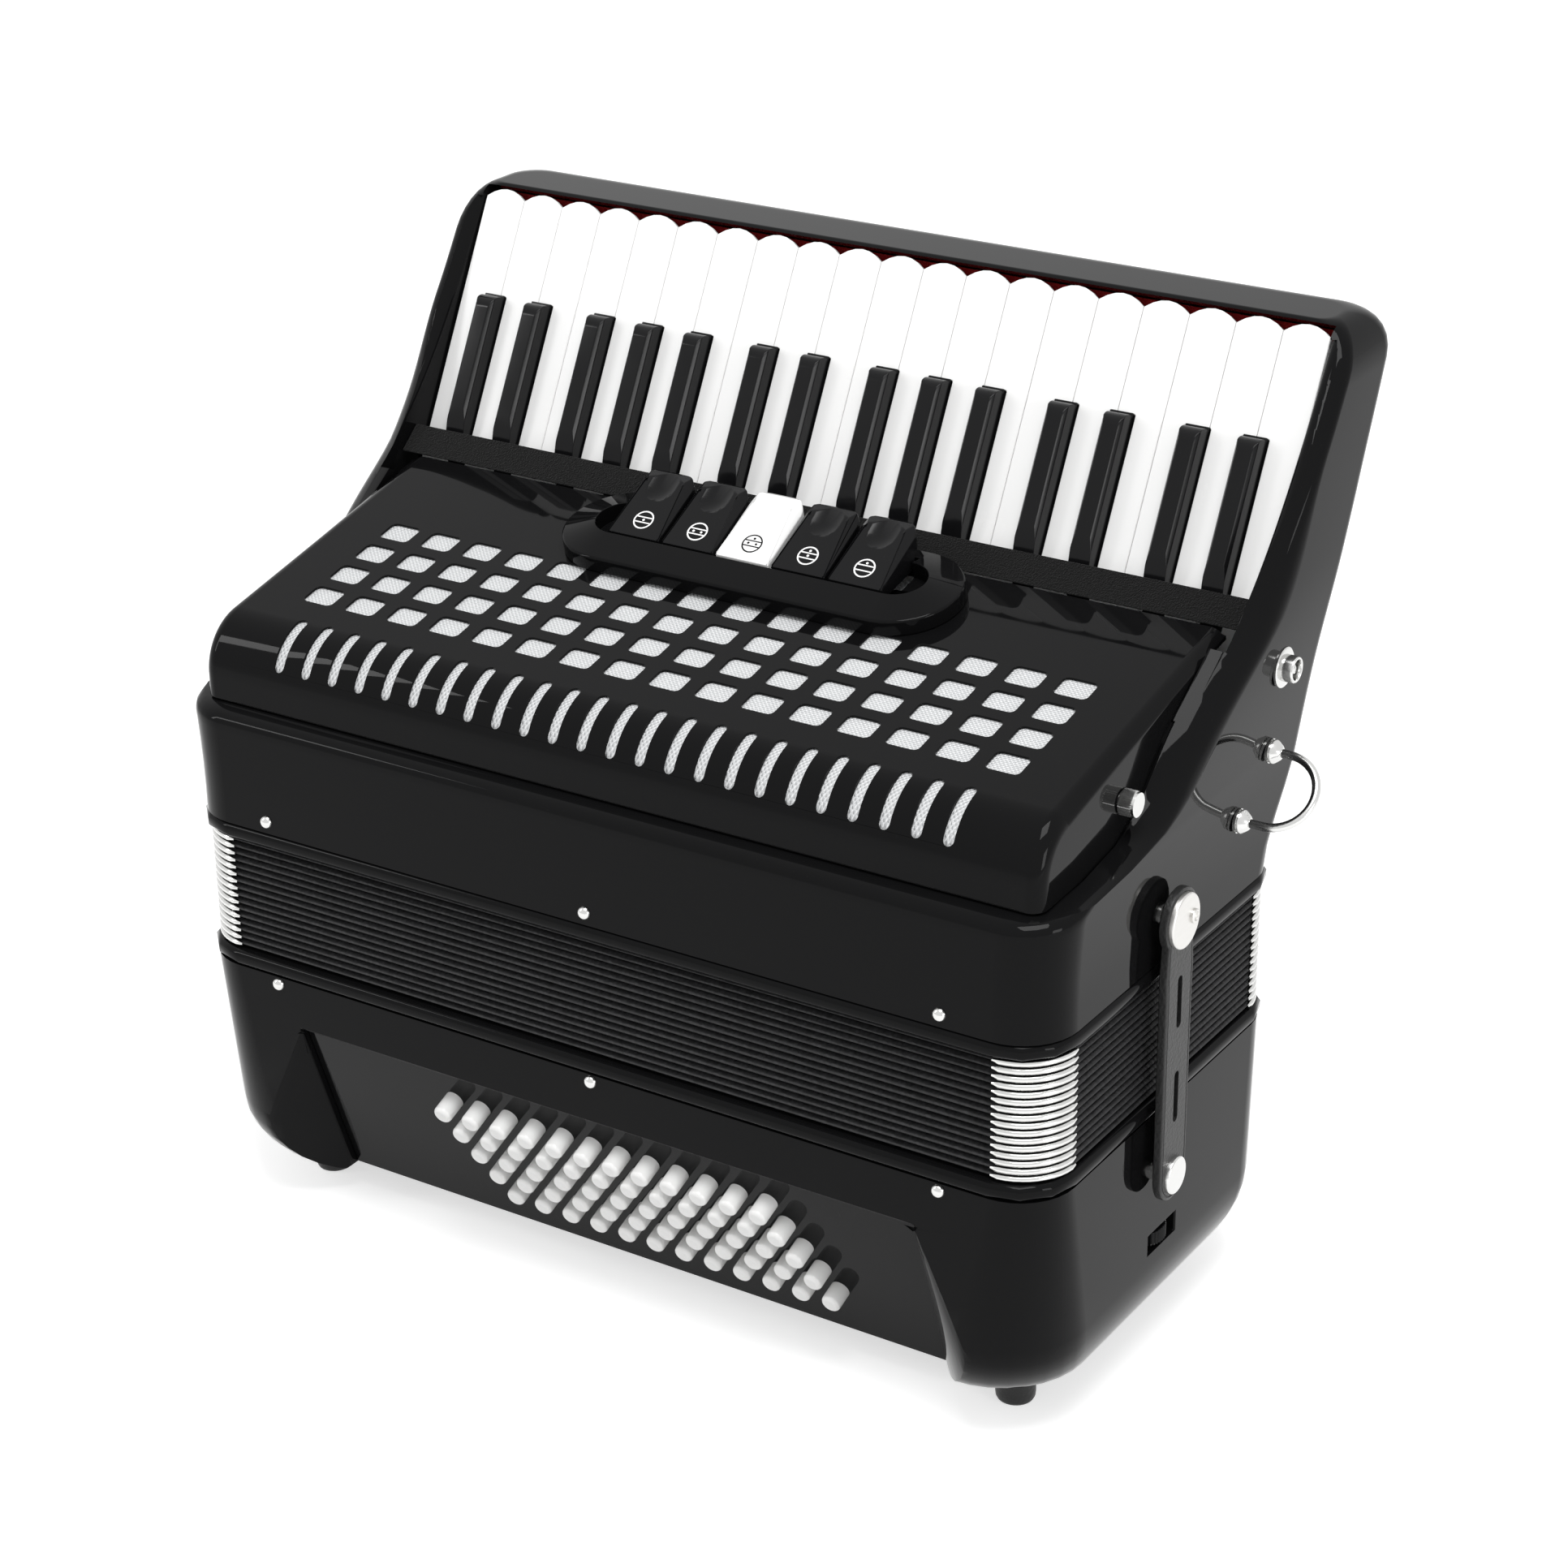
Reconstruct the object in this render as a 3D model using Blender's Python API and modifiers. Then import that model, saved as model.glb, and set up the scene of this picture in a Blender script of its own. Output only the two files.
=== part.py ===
"""A 34 key, 60 bass piano accordion, closed and standing on the four feet of its bass side.

The low notes are at +X, the grille faces -Y and the keyboard leans back over +Y.
Z runs along the bellows. All sizes are metres.
"""
import math

import bmesh
import bpy
from mathutils import Matrix, Vector

# Running gap between pieces that touch
GAP = 0.0003
OVERCUT = 0.001

# The row of white keys sets the length of the body
WHITE_KEYS = 20
KEY_PITCH = 0.0186
BODY_MARGIN = 0.0025

# The body in plan
BODY_DEPTH = 0.182
BODY_CORNER = 0.022
CORNER_STEPS = 3

# Heights of the stack, from the floor to the treble casing
FOOT_HEIGHT = 0.008
FOOT_DIAMETER = 0.015
FOOT_FROM_END = 0.0305
FOOT_FROM_WALL = 0.0382
BASS_HEIGHT = 0.0977
BEAD_HEIGHT = 0.006
BEAD_PROUD = 0.001
BEAD_WIDTH = 0.016
FOLD_COUNT = 16
FOLD_PITCH = 0.003
FOLD_DEPTH = 0.009
FOLD_SKIN = 0.0022
BELLOWS_END_IN = 0.0010
BELLOWS_SIDE_IN = 0.0025

# Bass casing
BASS_ROUND_HEIGHT = 0.034
BASS_ROUND_END = 0.026
BASS_ROUND_FRONT = 0.040
BASS_ROUND_BACK = 0.024
BASS_LOW_CORNER = 0.034
BASS_LOW_BACK_CORNER = 0.026
BASS_WALL = 0.006
BASS_FLOOR = 0.0045
CHANNEL_RISE = 0.005
RECESS_BLOCK = 0.0513
RECESS_WALL = 0.0035
RECESS_BLEND_DEPTH = 0.026
RECESS_BLEND_CURVE = ((0.5, 0.16), (0.2, 0.45), (0.05, 0.75))
RECESS_BLEND_WIDTH = 0.020
CHANNEL_EDGE = 0.012
PANEL_TILT = math.radians(20.8)
PANEL_TOP_BELOW_RIM = 0.0202
BOARD_THICKNESS = 0.0025
BUTTON_ROWS = 5
BUTTON_COLUMNS = 12
BUTTON_PITCH = 0.0129
BUTTON_ROW_PITCH = 0.0097
BUTTON_ROW_SHIFT = 0.0056
BUTTON_DIAMETER = 0.0076
BUTTON_LENGTH = 0.0075
BUTTON_FIELD_X = 0.0123
BUTTON_FIELD_DOWN = 0.0357
BUTTON_SIDES = 8
WHEEL_RADIUS = 0.0105
WHEEL_THICKNESS = 0.006
WHEEL_PROUD = 0.001
WHEEL_Z = 0.051
WHEEL_SHAFT = 0.005
WHEEL_SHAFT_REACH = 0.008
WHEEL_TEETH = 24
AIR_BUTTON_FROM_END = 0.0485
AIR_BUTTON_Z = 0.060
AIR_BUTTON_DIAMETER = 0.012
AIR_BUTTON_PROUD = 0.0040
AIR_BUTTON_FLANGE = 0.018
AIR_BUTTON_FLANGE_THICKNESS = 0.003
HAND_STRAP_SHORT = 0.0062
HAND_STRAP_WIDTH = 0.060
HAND_STRAP_THICKNESS = 0.003
HAND_STRAP_SAG = 0.006

# Pins and bellows straps
PIN_DIAMETER = 0.005
PIN_HEAD = 0.002
PIN_FROM_END = 0.0415
PIN_INSET = 0.0030
STRAP_Y = -0.008
STRAP_STUDS = 0.102
STRAP_LOWER_Z = 0.0825
STRAP_STANDOFF = 0.004
STRAP_THICKNESS = 0.0035
STRAP_WIDTH = 0.020
STRAP_HEAD_WIDTH = 0.024
STRAP_UPPER_DISC = 0.0208
STRAP_LOWER_DISC = 0.0144
STRAP_DISC_THICKNESS = 0.0020
STRAP_POST = 0.008
STRAP_POST_CLEAR = 0.0013
STRAP_PIN = 0.0036
STRAP_SLOT_LENGTH = 0.023
STRAP_SLOT_WIDTH = 0.0036
STRAP_SLOT_CENTRES = (0.032, 0.070)

# Keyboard
KEY_TILT = math.radians(28.1)
KEY_TIP_SHARE = 1.2527
KEY_TIP_RISE = 0.1927
KEY_GAP = 0.0006
TROUGH_SIDE = 0.0007
TROUGH_CLEAR = 0.001
KEY_VISIBLE = 0.097
KEY_BODY = 0.117
KEY_DEPTH = 0.010
KEY_LIP = 0.0010
KEY_LIP_DEPTH = 0.0025
KEY_ARC = 0.0037
KEY_ARC_STEPS = 6
KEY_DIP = 0.0045
BLACK_FRONT = 0.0400
BLACK_BEND = 0.0870
BLACK_HEIGHT = 0.0076
BLACK_ROOT_HEIGHT = 0.0048
BLACK_FOOT = 0.0094
BLACK_CREST = 0.0066
AXLE_FROM_TAIL = 0.005
AXLE_BELOW = 0.0055
AXLE_DIAMETER = 0.003
BED_CLEARANCE = 0.001
ROOT_FELT = 0.0025
ROOT_FELT_CLEAR = 0.0012

# Each black key: the white key line that it straddles, and its shift off that line
BLACK_KEYS = (
    (1, -0.0022), (2, 0.0022), (4, -0.0044), (5, 0.0), (6, 0.0044), (8, -0.0022), (9, 0.0022),
    (11, -0.0044), (12, 0.0), (13, 0.0044), (15, -0.0022), (16, 0.0022), (18, -0.0044), (19, 0.0),
)

# Treble casing. Each line is a share of half the depth and a height above the casing's lower edge
CHEEK_SPREAD = 0.008
FLARE_START = 0.008
FLARE_END = 0.118
TREBLE_HEIGHT = 0.1981
TOP_RADIUS = 0.018
TOP_END_SHARE = 0.75
TOP_FRONT_SHARE = 0.25
RIM_LINE = (
    (-0.9615, 0.0450), (-0.9286, 0.0460), (-0.6593, 0.0478), (-0.4176, 0.0510), (-0.2198, 0.0590),
    (-0.0989, 0.0685), (0.0220, 0.0785), (0.1484, 0.0870), (0.3736, 0.1005), (0.4835, 0.1080),
    (0.7253, 0.1300), (0.9670, 0.1580), (1.1538, 0.1840),
)
BACK_LINE = (
    (0.9945, 0.0040), (1.0989, 0.0360), (1.1923, 0.0860), (1.4396, 0.1380), (1.6374, 0.1780),
)
FRONT_WALL_HEIGHT = 0.0425
CHEEK_CORNER = 0.006
CHEEK_CORNER_START = 0.100
CHEEK_CORNER_END = 0.158
BACK_CORNER = 0.012
GRILLE_SEAT = (
    (-1.0440, 0.0459), (-0.5495, 0.0476), (-0.3297, 0.0510), (-0.1758, 0.0610), (-0.0220, 0.0745),
    (0.1758, 0.0870), (0.4176, 0.0962), (0.5659, 0.0985),
)
POCKET_FRONT = 0.0105
POCKET_END = 0.010
HOLLOW_BACK = ((0.0, 0.005), (0.006, 0.038))
HOLLOW_TURN = 0.006
RAIL_GAP = 0.0009

# Grille cover, in a frame whose origin is the middle of its rear edge
GRILLE_END_IN = 0.0081
GRILLE_REAR_SHARE = 0.5549
GRILLE_REAR_RISE = 0.1025
GRILLE_SLOPE = math.radians(12.05)
GRILLE_FRONT_IN = 0.008
GRILLE_NOSE = 0.023
GRILLE_NOSE_STEPS = 6
GRILLE_WALL = 0.002
GRILLE_EDGE = 0.006
GRILLE_REAR_EDGE = 0.002
WINDOW_ROWS = 4
WINDOW_COLUMNS = 16
WINDOW_PITCH = 0.01973
WINDOW_ROW_PITCH = 0.01607
WINDOW_FIRST_ROW = 0.0521
WINDOW_LENGTH = 0.0133
WINDOW_WIDTH = 0.0104
WINDOW_CORNER = 0.0018
SLOT_COUNT = 24
SLOT_PITCH = 0.01252
SLOT_WIDTH = 0.0043
SLOT_LENGTH = 0.0228
SLOT_MIDDLE_IN = 0.0180
SLOT_MIDDLE_RISE = 0.0708
SLOT_TURN = math.radians(40.4)
CLOTH_THICKNESS = 0.0005
THUMB_SCREW_DIAMETER = 0.010
THUMB_SCREW_LENGTH = 0.0065
THUMB_SCREW_SHARE = -0.2857
THUMB_SCREW_RISE = 0.0665

# Register switches and their plate, in the grille's frame
PLATE_END = 0.02225
PLATE_WIDTH = 0.048
PLATE_CENTRE = 0.0302
PLATE_HEIGHT = 0.0080
PLATE_CHAMFER = 0.003
SWITCH_COUNT = 5
SWITCH_PITCH = 0.0243
SWITCH_WIDTH = 0.0230
SWITCH_FRONT = 0.0348
SWITCH_REAR = 0.0045
SWITCH_HOLE_REAR = 0.0080
SWITCH_TOP = 0.0198
SWITCH_PIVOT_IN = 0.0018
SWITCH_PIVOT_UP = 0.0040
SWITCH_FOOT = 0.0025
SWITCH_OVERHANG = 0.0045
SWITCH_NOSE = 0.0045
SCOOP_RADIUS = 0.022
SCOOP_ALONG = 0.0215
SCOOP_DEPTH = 0.0011
SCOOP_SHARE = 0.72

# End fittings
STUD_SHARE = 0.7363
STUD_RISE = 0.0855
STUD_FLANGE = 0.015
STUD_RING = 0.0107
STUD_FLANGE_THICKNESS = 0.0015
STUD_PROUD = 0.0060
RING_UPPER = (0.7297, 0.0525)
RING_LOWER = (0.5055, 0.0325)
RING_ROD = 0.0033
RING_REACH = 0.0232
RING_SHANK = 0.005
RING_CONE = 0.009
RING_CONE_LENGTH = 0.005
RING_CONE_GAP = 0.0012

# Reed blocks inside
REED_BOARD = 0.005
REED_BLOCK_SHORT = 0.0385
TREBLE_REED_ROWS = (-0.4945, 0.0, 0.4945)
BASS_REED_ROWS = (-0.2473, 0.2473)
REED_BLOCK_BASE = 0.022
REED_BLOCK_CREST = 0.012
TREBLE_BLOCK_HEIGHT = 0.036
BASS_BLOCK_HEIGHT = 0.030
TREBLE_BOARD_RISE = 0.010
BASS_BOARD_BELOW = 0.012

# Worked out from the sizes above
BASS_TOP = FOOT_HEIGHT + BASS_HEIGHT
BELLOWS_BASE = BASS_TOP + BEAD_HEIGHT + 2 * GAP
BELLOWS_TOP = BELLOWS_BASE + FOLD_COUNT * FOLD_PITCH
TREBLE_BASE = BELLOWS_TOP + BEAD_HEIGHT + 2 * GAP
KEYS_HALF = WHITE_KEYS * KEY_PITCH / 2
HALF_LENGTH = KEYS_HALF + BODY_MARGIN
HALF_DEPTH = BODY_DEPTH / 2
KEY_BED = KEY_DEPTH + KEY_DIP + BED_CLEARANCE
AXLE_ALONG = KEY_BODY - AXLE_FROM_TAIL
TROUGH_HALF = KEYS_HALF + TROUGH_SIDE
GRILLE_HALF = HALF_LENGTH - GRILLE_END_IN
GRILLE_FRONT_Y = GRILLE_FRONT_IN - HALF_DEPTH
GRILLE_REAR_Y = GRILLE_REAR_SHARE * HALF_DEPTH
SEAT_HALF = GRILLE_HALF + 2 * GAP
CHANNEL_FLOOR = FOOT_HEIGHT + CHANNEL_RISE
PANEL_TOP_Z = BASS_TOP - PANEL_TOP_BELOW_RIM
PANEL_DROP = (PANEL_TOP_Z - CHANNEL_FLOOR) / math.cos(PANEL_TILT)
STRAP_INNER_X = HALF_LENGTH + STRAP_STANDOFF
PLATE_LENGTH = SWITCH_COUNT * SWITCH_PITCH + 2 * PLATE_END
RECESS_HALF = HALF_LENGTH - RECESS_BLOCK
HAND_STRAP_LENGTH = 2 * (RECESS_HALF - HAND_STRAP_SHORT)
AIR_BUTTON_X = HALF_LENGTH - AIR_BUTTON_FROM_END
PIN_SPACING = HALF_LENGTH - PIN_FROM_END
REED_BLOCK_LENGTH = 2 * (HALF_LENGTH - REED_BLOCK_SHORT)

scene = bpy.context.scene


def clear_scene():
    for old in list(bpy.data.objects):
        bpy.data.objects.remove(old, do_unlink=True)


def new_collection(name):
    group = bpy.data.collections.new(name)
    scene.collection.children.link(group)
    return group


clear_scene()
PARTS = new_collection("accordion")
CUTTERS = new_collection("cutters")


def material(name, colour, roughness, metallic=0.0):
    made = bpy.data.materials.new(name)
    made.use_nodes = True
    shader = made.node_tree.nodes["Principled BSDF"]
    shader.inputs["Base Color"].default_value = (*colour, 1.0)
    shader.inputs["Roughness"].default_value = roughness
    shader.inputs["Metallic"].default_value = metallic
    made.diffuse_color = (*colour, 1.0)
    return made


# Finishes as the photograph shows them
GLOSS_BLACK = material("gloss_black_celluloid", (0.012, 0.012, 0.013), 0.08)
KEY_WHITE = material("white_key_plastic", (0.86, 0.86, 0.84), 0.15)
KEY_BLACK = material("black_key_plastic", (0.014, 0.014, 0.015), 0.22)
CHROME = material("chrome", (0.72, 0.72, 0.72), 0.15, 1.0)
LEATHER = material("black_leather", (0.016, 0.016, 0.016), 0.6)
BELLOWS_CLOTH = material("black_bellows_cloth", (0.02, 0.02, 0.02), 0.75)
GRILLE_CLOTH = material("silver_grille_cloth", (0.72, 0.73, 0.74), 0.5)
RED_FELT = material("red_felt", (0.45, 0.01, 0.01), 0.95)
BLACK_FELT = material("black_felt", (0.01, 0.01, 0.01), 0.95)
REED_WOOD = material("spruce_wood", (0.55, 0.38, 0.2), 0.6)


def empty(name, parent=None, location=(0, 0, 0), turn=0.0):
    """A frame: its X stays along the keyboard, and it is turned about X."""
    made = bpy.data.objects.new(name, None)
    made.empty_display_size = 0.02
    made.parent = parent
    made.location = location
    made.rotation_euler = (turn, 0, 0)
    PARTS.objects.link(made)
    return made


def place(name, mesh_source, finish, parent, location=(0, 0, 0), cutter=False):
    """Turns a bmesh into a named object of the part, or into a hidden cutter."""
    mesh = bpy.data.meshes.new(name)
    bmesh.ops.recalc_face_normals(mesh_source, faces=mesh_source.faces)
    mesh_source.to_mesh(mesh)
    mesh_source.free()
    made = bpy.data.objects.new(name, mesh)
    made.parent = parent
    made.location = location
    if cutter:
        made.hide_render = True
        made.display_type = "WIRE"
        CUTTERS.objects.link(made)
        return made
    mesh.materials.append(finish)
    PARTS.objects.link(made)
    return made


def boolean(target, cutter, operation="DIFFERENCE"):
    step = target.modifiers.new(cutter.name, "BOOLEAN")
    step.object = cutter
    step.operation = operation
    step.solver = "EXACT"
    return step


def add_prism(mesh, outline, low, high, axis="X"):
    """Extrudes an outline along an axis; the outline lists the other two coordinates in order."""
    def corner(point):
        if axis == "X":
            return (low, point[0], point[1])
        if axis == "Y":
            return (point[0], low, point[1])
        return (point[0], point[1], low)
    face = mesh.faces.new([mesh.verts.new(corner(point)) for point in outline])
    grown = bmesh.ops.extrude_face_region(mesh, geom=[face])
    step = {"X": Vector((1, 0, 0)), "Y": Vector((0, 1, 0)), "Z": Vector((0, 0, 1))}[axis] * (high - low)
    moved = [part for part in grown["geom"] if isinstance(part, bmesh.types.BMVert)]
    bmesh.ops.translate(mesh, verts=moved, vec=step)


def prism(outline, low, high, axis="X"):
    mesh = bmesh.new()
    add_prism(mesh, outline, low, high, axis)
    return mesh


def add_box(mesh, low, high):
    size = [high[i] - low[i] for i in range(3)]
    centre = [(high[i] + low[i]) / 2 for i in range(3)]
    shape = Matrix.Translation(centre) @ Matrix.Diagonal((*size, 1.0))
    bmesh.ops.create_cube(mesh, size=1.0, matrix=shape)


def box(low, high):
    mesh = bmesh.new()
    add_box(mesh, low, high)
    return mesh


def add_turned(mesh, start, profile, axis="X", sides=16):
    """A turned body along an axis: each profile entry is a distance from the start and a diameter."""
    rows = []
    for offset, diameter in profile:
        row = []
        for step in range(sides):
            angle = 2 * math.pi * (step + 0.5) / sides
            across = diameter / 2 * math.cos(angle)
            up = diameter / 2 * math.sin(angle)
            local = {"X": (offset, across, up), "Y": (across, offset, up), "Z": (across, up, offset)}[axis]
            row.append(mesh.verts.new([start[i] + local[i] for i in range(3)]))
        rows.append(row)
    for near, far in zip(rows, rows[1:]):
        for i in range(sides):
            j = (i + 1) % sides
            mesh.faces.new((near[i], near[j], far[j], far[i]))
    mesh.faces.new(list(reversed(rows[0])))
    mesh.faces.new(rows[-1])


def rounded_ring(half_x, front, back, front_corner, back_corner, z, steps=CORNER_STEPS):
    """Points of a rectangle with round corners, counter-clockwise seen from above."""
    points = []
    corners = (
        (half_x - front_corner, front + front_corner, front_corner, -90),
        (half_x - back_corner, back - back_corner, back_corner, 0),
        (-half_x + back_corner, back - back_corner, back_corner, 90),
        (-half_x + front_corner, front + front_corner, front_corner, 180),
    )
    for centre_x, centre_y, radius, start in corners:
        for step in range(steps + 1):
            angle = math.radians(start + 90 * step / steps)
            points.append((centre_x + radius * math.cos(angle), centre_y + radius * math.sin(angle), z))
    return points


def loft(rings, closed=False):
    """Skins rings of equal count; a closed loft joins the last ring to the first."""
    mesh = bmesh.new()
    rows = [[mesh.verts.new(point) for point in ring] for ring in rings]
    count = len(rows[0])
    pairs = list(zip(rows, rows[1:]))
    if closed:
        pairs.append((rows[-1], rows[0]))
    for lower, upper in pairs:
        for i in range(count):
            j = (i + 1) % count
            mesh.faces.new((lower[i], lower[j], upper[j], upper[i]))
    if not closed:
        mesh.faces.new(list(reversed(rows[0])))
        mesh.faces.new(rows[-1])
    return mesh


def in_metres(line):
    """A line whose first numbers are shares of half the depth, in metres."""
    return [(share * HALF_DEPTH, height) for share, height in line]


def line_at(line, height):
    """The y of a (y, height) line at a height, held constant past its ends."""
    if height <= line[0][1]:
        return line[0][0]
    for (y0, h0), (y1, h1) in zip(line, line[1:]):
        if height <= h1:
            return y0 + (y1 - y0) * (height - h0) / (h1 - h0)
    return line[-1][0]


def smooth(value):
    held = min(max(value, 0.0), 1.0)
    return held * held * (3 - 2 * held)


def end_half(height):
    """Half the treble casing's length at a height above its lower edge."""
    share = smooth((height - FLARE_START) / (FLARE_END - FLARE_START))
    return HALF_LENGTH + CHEEK_SPREAD * share


def frame_point(origin, turn, along, out):
    """World y and z of a point given in a frame that is turned about X."""
    y = origin[0] + along * math.cos(turn) - out * math.sin(turn)
    z = origin[1] + along * math.sin(turn) + out * math.cos(turn)
    return (y, z)


KEY_TURN = math.pi / 2 - KEY_TILT
KEY_TIP = (KEY_TIP_SHARE * HALF_DEPTH, TREBLE_BASE + KEY_TIP_RISE)
AXLE_POINT = frame_point(KEY_TIP, KEY_TURN, -AXLE_ALONG, -AXLE_BELOW)
GRILLE_REAR = (GRILLE_REAR_Y, TREBLE_BASE + GRILLE_REAR_RISE)
# The grille's rear edge as seen along the keys from their tips; the trough reaches it or the key tails
REAR_FROM_TIP = frame_point((0, 0), -KEY_TURN, GRILLE_REAR[0] - KEY_TIP[0], GRILLE_REAR[1] - KEY_TIP[1])
TROUGH_LENGTH = max(KEY_BODY, 2 * GAP - REAR_FROM_TIP[0]) + TROUGH_CLEAR
PANEL_TURN = math.pi / 2 + PANEL_TILT
PANEL_TOP = (-HALF_DEPTH, PANEL_TOP_Z)

# The box of the whole part is centred on the origin in y
FRONT_REACH = HALF_DEPTH + PIN_HEAD
BACK_REACH = BACK_LINE[-1][0] * HALF_DEPTH
STAND_SHIFT = (FRONT_REACH - BACK_REACH) / 2

BASS_FRAME = empty("bass_frame", location=(0, STAND_SHIFT, 0))
TREBLE_FRAME = empty("treble_frame", BASS_FRAME)
KEY_FRAME = empty("key_axis", TREBLE_FRAME, (0, *AXLE_POINT), KEY_TURN)
GRILLE_FRAME = empty("grille_frame", TREBLE_FRAME, (0, *GRILLE_REAR), GRILLE_SLOPE)
PANEL_FRAME = empty("panel_frame", BASS_FRAME, (0, *PANEL_TOP), PANEL_TURN)


def add_pins(mesh, z):
    """Bellows pins: round heads on the front and back walls."""
    for side in (-1, 1):
        for step in (-1, 0, 1):
            start = (step * PIN_SPACING, side * HALF_DEPTH, z)
            profile = ((-side * PIN_HEAD, PIN_DIAMETER), (side * PIN_HEAD * 0.5, PIN_DIAMETER),
                       (side * PIN_HEAD, PIN_DIAMETER * 0.6))
            add_turned(mesh, start, profile, "Y", 8)


def add_posts(mesh, z, pin):
    """Stand-off posts that carry the bellows straps, one on each end; the lower ones end in a pin."""
    for side in (-1, 1):
        # An upper post stops short of its strap, so that the strap can swing past
        reach = STRAP_INNER_X - (GAP if pin else STRAP_POST_CLEAR)
        profile = [(side * (HALF_LENGTH - STRAP_STANDOFF), STRAP_POST), (side * reach, STRAP_POST)]
        if pin:
            tip = side * (STRAP_INNER_X + STRAP_THICKNESS - GAP)
            profile += [(side * reach, STRAP_PIN), (tip, STRAP_PIN)]
        add_turned(mesh, (0, STRAP_Y, z), profile, "X", 12)


def bass_casing():
    """A tub with a big bottom radius, a strap channel beneath and the button recess in front."""
    rings = []
    steps = 5
    for step in range(steps + 1):
        angle = math.radians(90 * step / steps)
        end_in = BASS_ROUND_END * (1 - math.sin(angle))
        front_in = BASS_ROUND_FRONT * (1 - math.sin(angle))
        back_in = BASS_ROUND_BACK * (1 - math.sin(angle))
        rings.append(rounded_ring(
            HALF_LENGTH - end_in, front_in - HALF_DEPTH, HALF_DEPTH - back_in, BASS_LOW_CORNER,
            BASS_LOW_BACK_CORNER, FOOT_HEIGHT + BASS_ROUND_HEIGHT * (1 - math.cos(angle))))
    rings.append(rounded_ring(HALF_LENGTH, -HALF_DEPTH, HALF_DEPTH, BODY_CORNER, BODY_CORNER, BASS_TOP))
    casing = place("bass_casing", loft(rings), GLOSS_BLACK, BASS_FRAME)

    # The recess runs in behind the sloping board and out through the bottom
    half = RECESS_HALF
    seat = -BOARD_THICKNESS - GAP
    top_in = frame_point(PANEL_TOP, PANEL_TURN, 0, seat)
    top_out = frame_point(PANEL_TOP, PANEL_TURN, 0, 0.03)
    foot = frame_point(PANEL_TOP, PANEL_TURN, -PANEL_DROP, seat)
    recess = prism([top_in, foot, (foot[0], 0), (-HALF_DEPTH - 0.03, 0), top_out], -half, half)
    boolean(casing, place("bass_recess_cut", recess, None, BASS_FRAME, cutter=True))
    edge = half + CHANNEL_EDGE
    channel = prism([(-half, CHANNEL_FLOOR), (half, CHANNEL_FLOOR), (half + CHANNEL_EDGE / 4,
                     FOOT_HEIGHT + CHANNEL_RISE / 2), (edge, FOOT_HEIGHT), (edge, -0.01), (-edge, -0.01),
                     (-edge, FOOT_HEIGHT), (-half - CHANNEL_EDGE / 4, FOOT_HEIGHT + CHANNEL_RISE / 2)],
                    -HALF_DEPTH - 0.01, HALF_DEPTH + 0.01, "Y")
    boolean(casing, place("bass_channel_cut", channel, None, BASS_FRAME, cutter=True))

    # The block beside the recess is eased back, more and more towards the floor
    for side, name in ((-1, "high"), (1, "low")):
        blend = []
        for share, z in ((0.0, -0.002), (0.97, PANEL_TOP_Z)):
            wide = RECESS_BLEND_WIDTH * (1 - share)
            deep = RECESS_BLEND_DEPTH * (1 - share)
            points = [(-OVERCUT, -OVERCUT), (wide, -OVERCUT)]
            points += [(across * wide, inward * deep) for across, inward in RECESS_BLEND_CURVE]
            points.append((-OVERCUT, deep))
            blend.append([(side * (half + x), y - HALF_DEPTH, z) for x, y in points])
        boolean(casing, place("recess_blend_cut_" + name, loft(blend), None, BASS_FRAME, cutter=True))

    # The hollow is a smaller tub that leaves a wall behind the recess and over the channel
    floor = CHANNEL_FLOOR + BASS_FLOOR
    wall = seat - RECESS_WALL
    low = frame_point(PANEL_TOP, PANEL_TURN, -PANEL_DROP, wall)
    high = frame_point(PANEL_TOP, PANEL_TURN, RECESS_WALL, wall)
    low_y = low[0] - (floor - low[1]) * math.tan(PANEL_TILT)
    rings = []
    inner = HALF_DEPTH - BASS_WALL
    for share, height, low in ((1.0, BASS_WALL, 1.0), (0.0, BASS_ROUND_HEIGHT, 1.0),
                               (0.0, BASS_HEIGHT + 0.01, 0.0)):
        front_corner = BODY_CORNER + low * (BASS_LOW_CORNER - BODY_CORNER) - BASS_WALL
        back_corner = BODY_CORNER + low * (BASS_LOW_BACK_CORNER - BODY_CORNER) - BASS_WALL
        rings.append(rounded_ring(
            HALF_LENGTH - BASS_WALL - share * BASS_ROUND_END, share * BASS_ROUND_FRONT - inner,
            inner - share * BASS_ROUND_BACK, front_corner, back_corner, FOOT_HEIGHT + height))
    hollow = place("bass_hollow_cut", loft(rings), None, BASS_FRAME, cutter=True)
    kept = [(-HALF_DEPTH - 0.03, 0), (HALF_DEPTH + 0.01, 0), (HALF_DEPTH + 0.01, floor), (low_y, floor),
            high, (-HALF_DEPTH - 0.03, high[1])]
    middle = half + RECESS_WALL
    boolean(hollow, place("bass_hollow_keep", prism(kept, -middle, middle), None, BASS_FRAME, cutter=True))
    boolean(casing, hollow)

    # A window behind the board lets the button rods through
    field = (BUTTON_COLUMNS - 1) * BUTTON_PITCH + (BUTTON_ROWS - 1) * BUTTON_ROW_SHIFT
    rows = (BUTTON_ROWS - 1) * BUTTON_ROW_PITCH
    window = box(
        (BUTTON_FIELD_X - field / 2 - BUTTON_DIAMETER, -BUTTON_FIELD_DOWN - rows / 2 - BUTTON_DIAMETER,
         2 * wall),
        (BUTTON_FIELD_X + field / 2 + BUTTON_DIAMETER, -BUTTON_FIELD_DOWN + rows / 2 + BUTTON_DIAMETER,
         0.002))
    boolean(casing, place("bass_window_cut", window, None, PANEL_FRAME, cutter=True))

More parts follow.
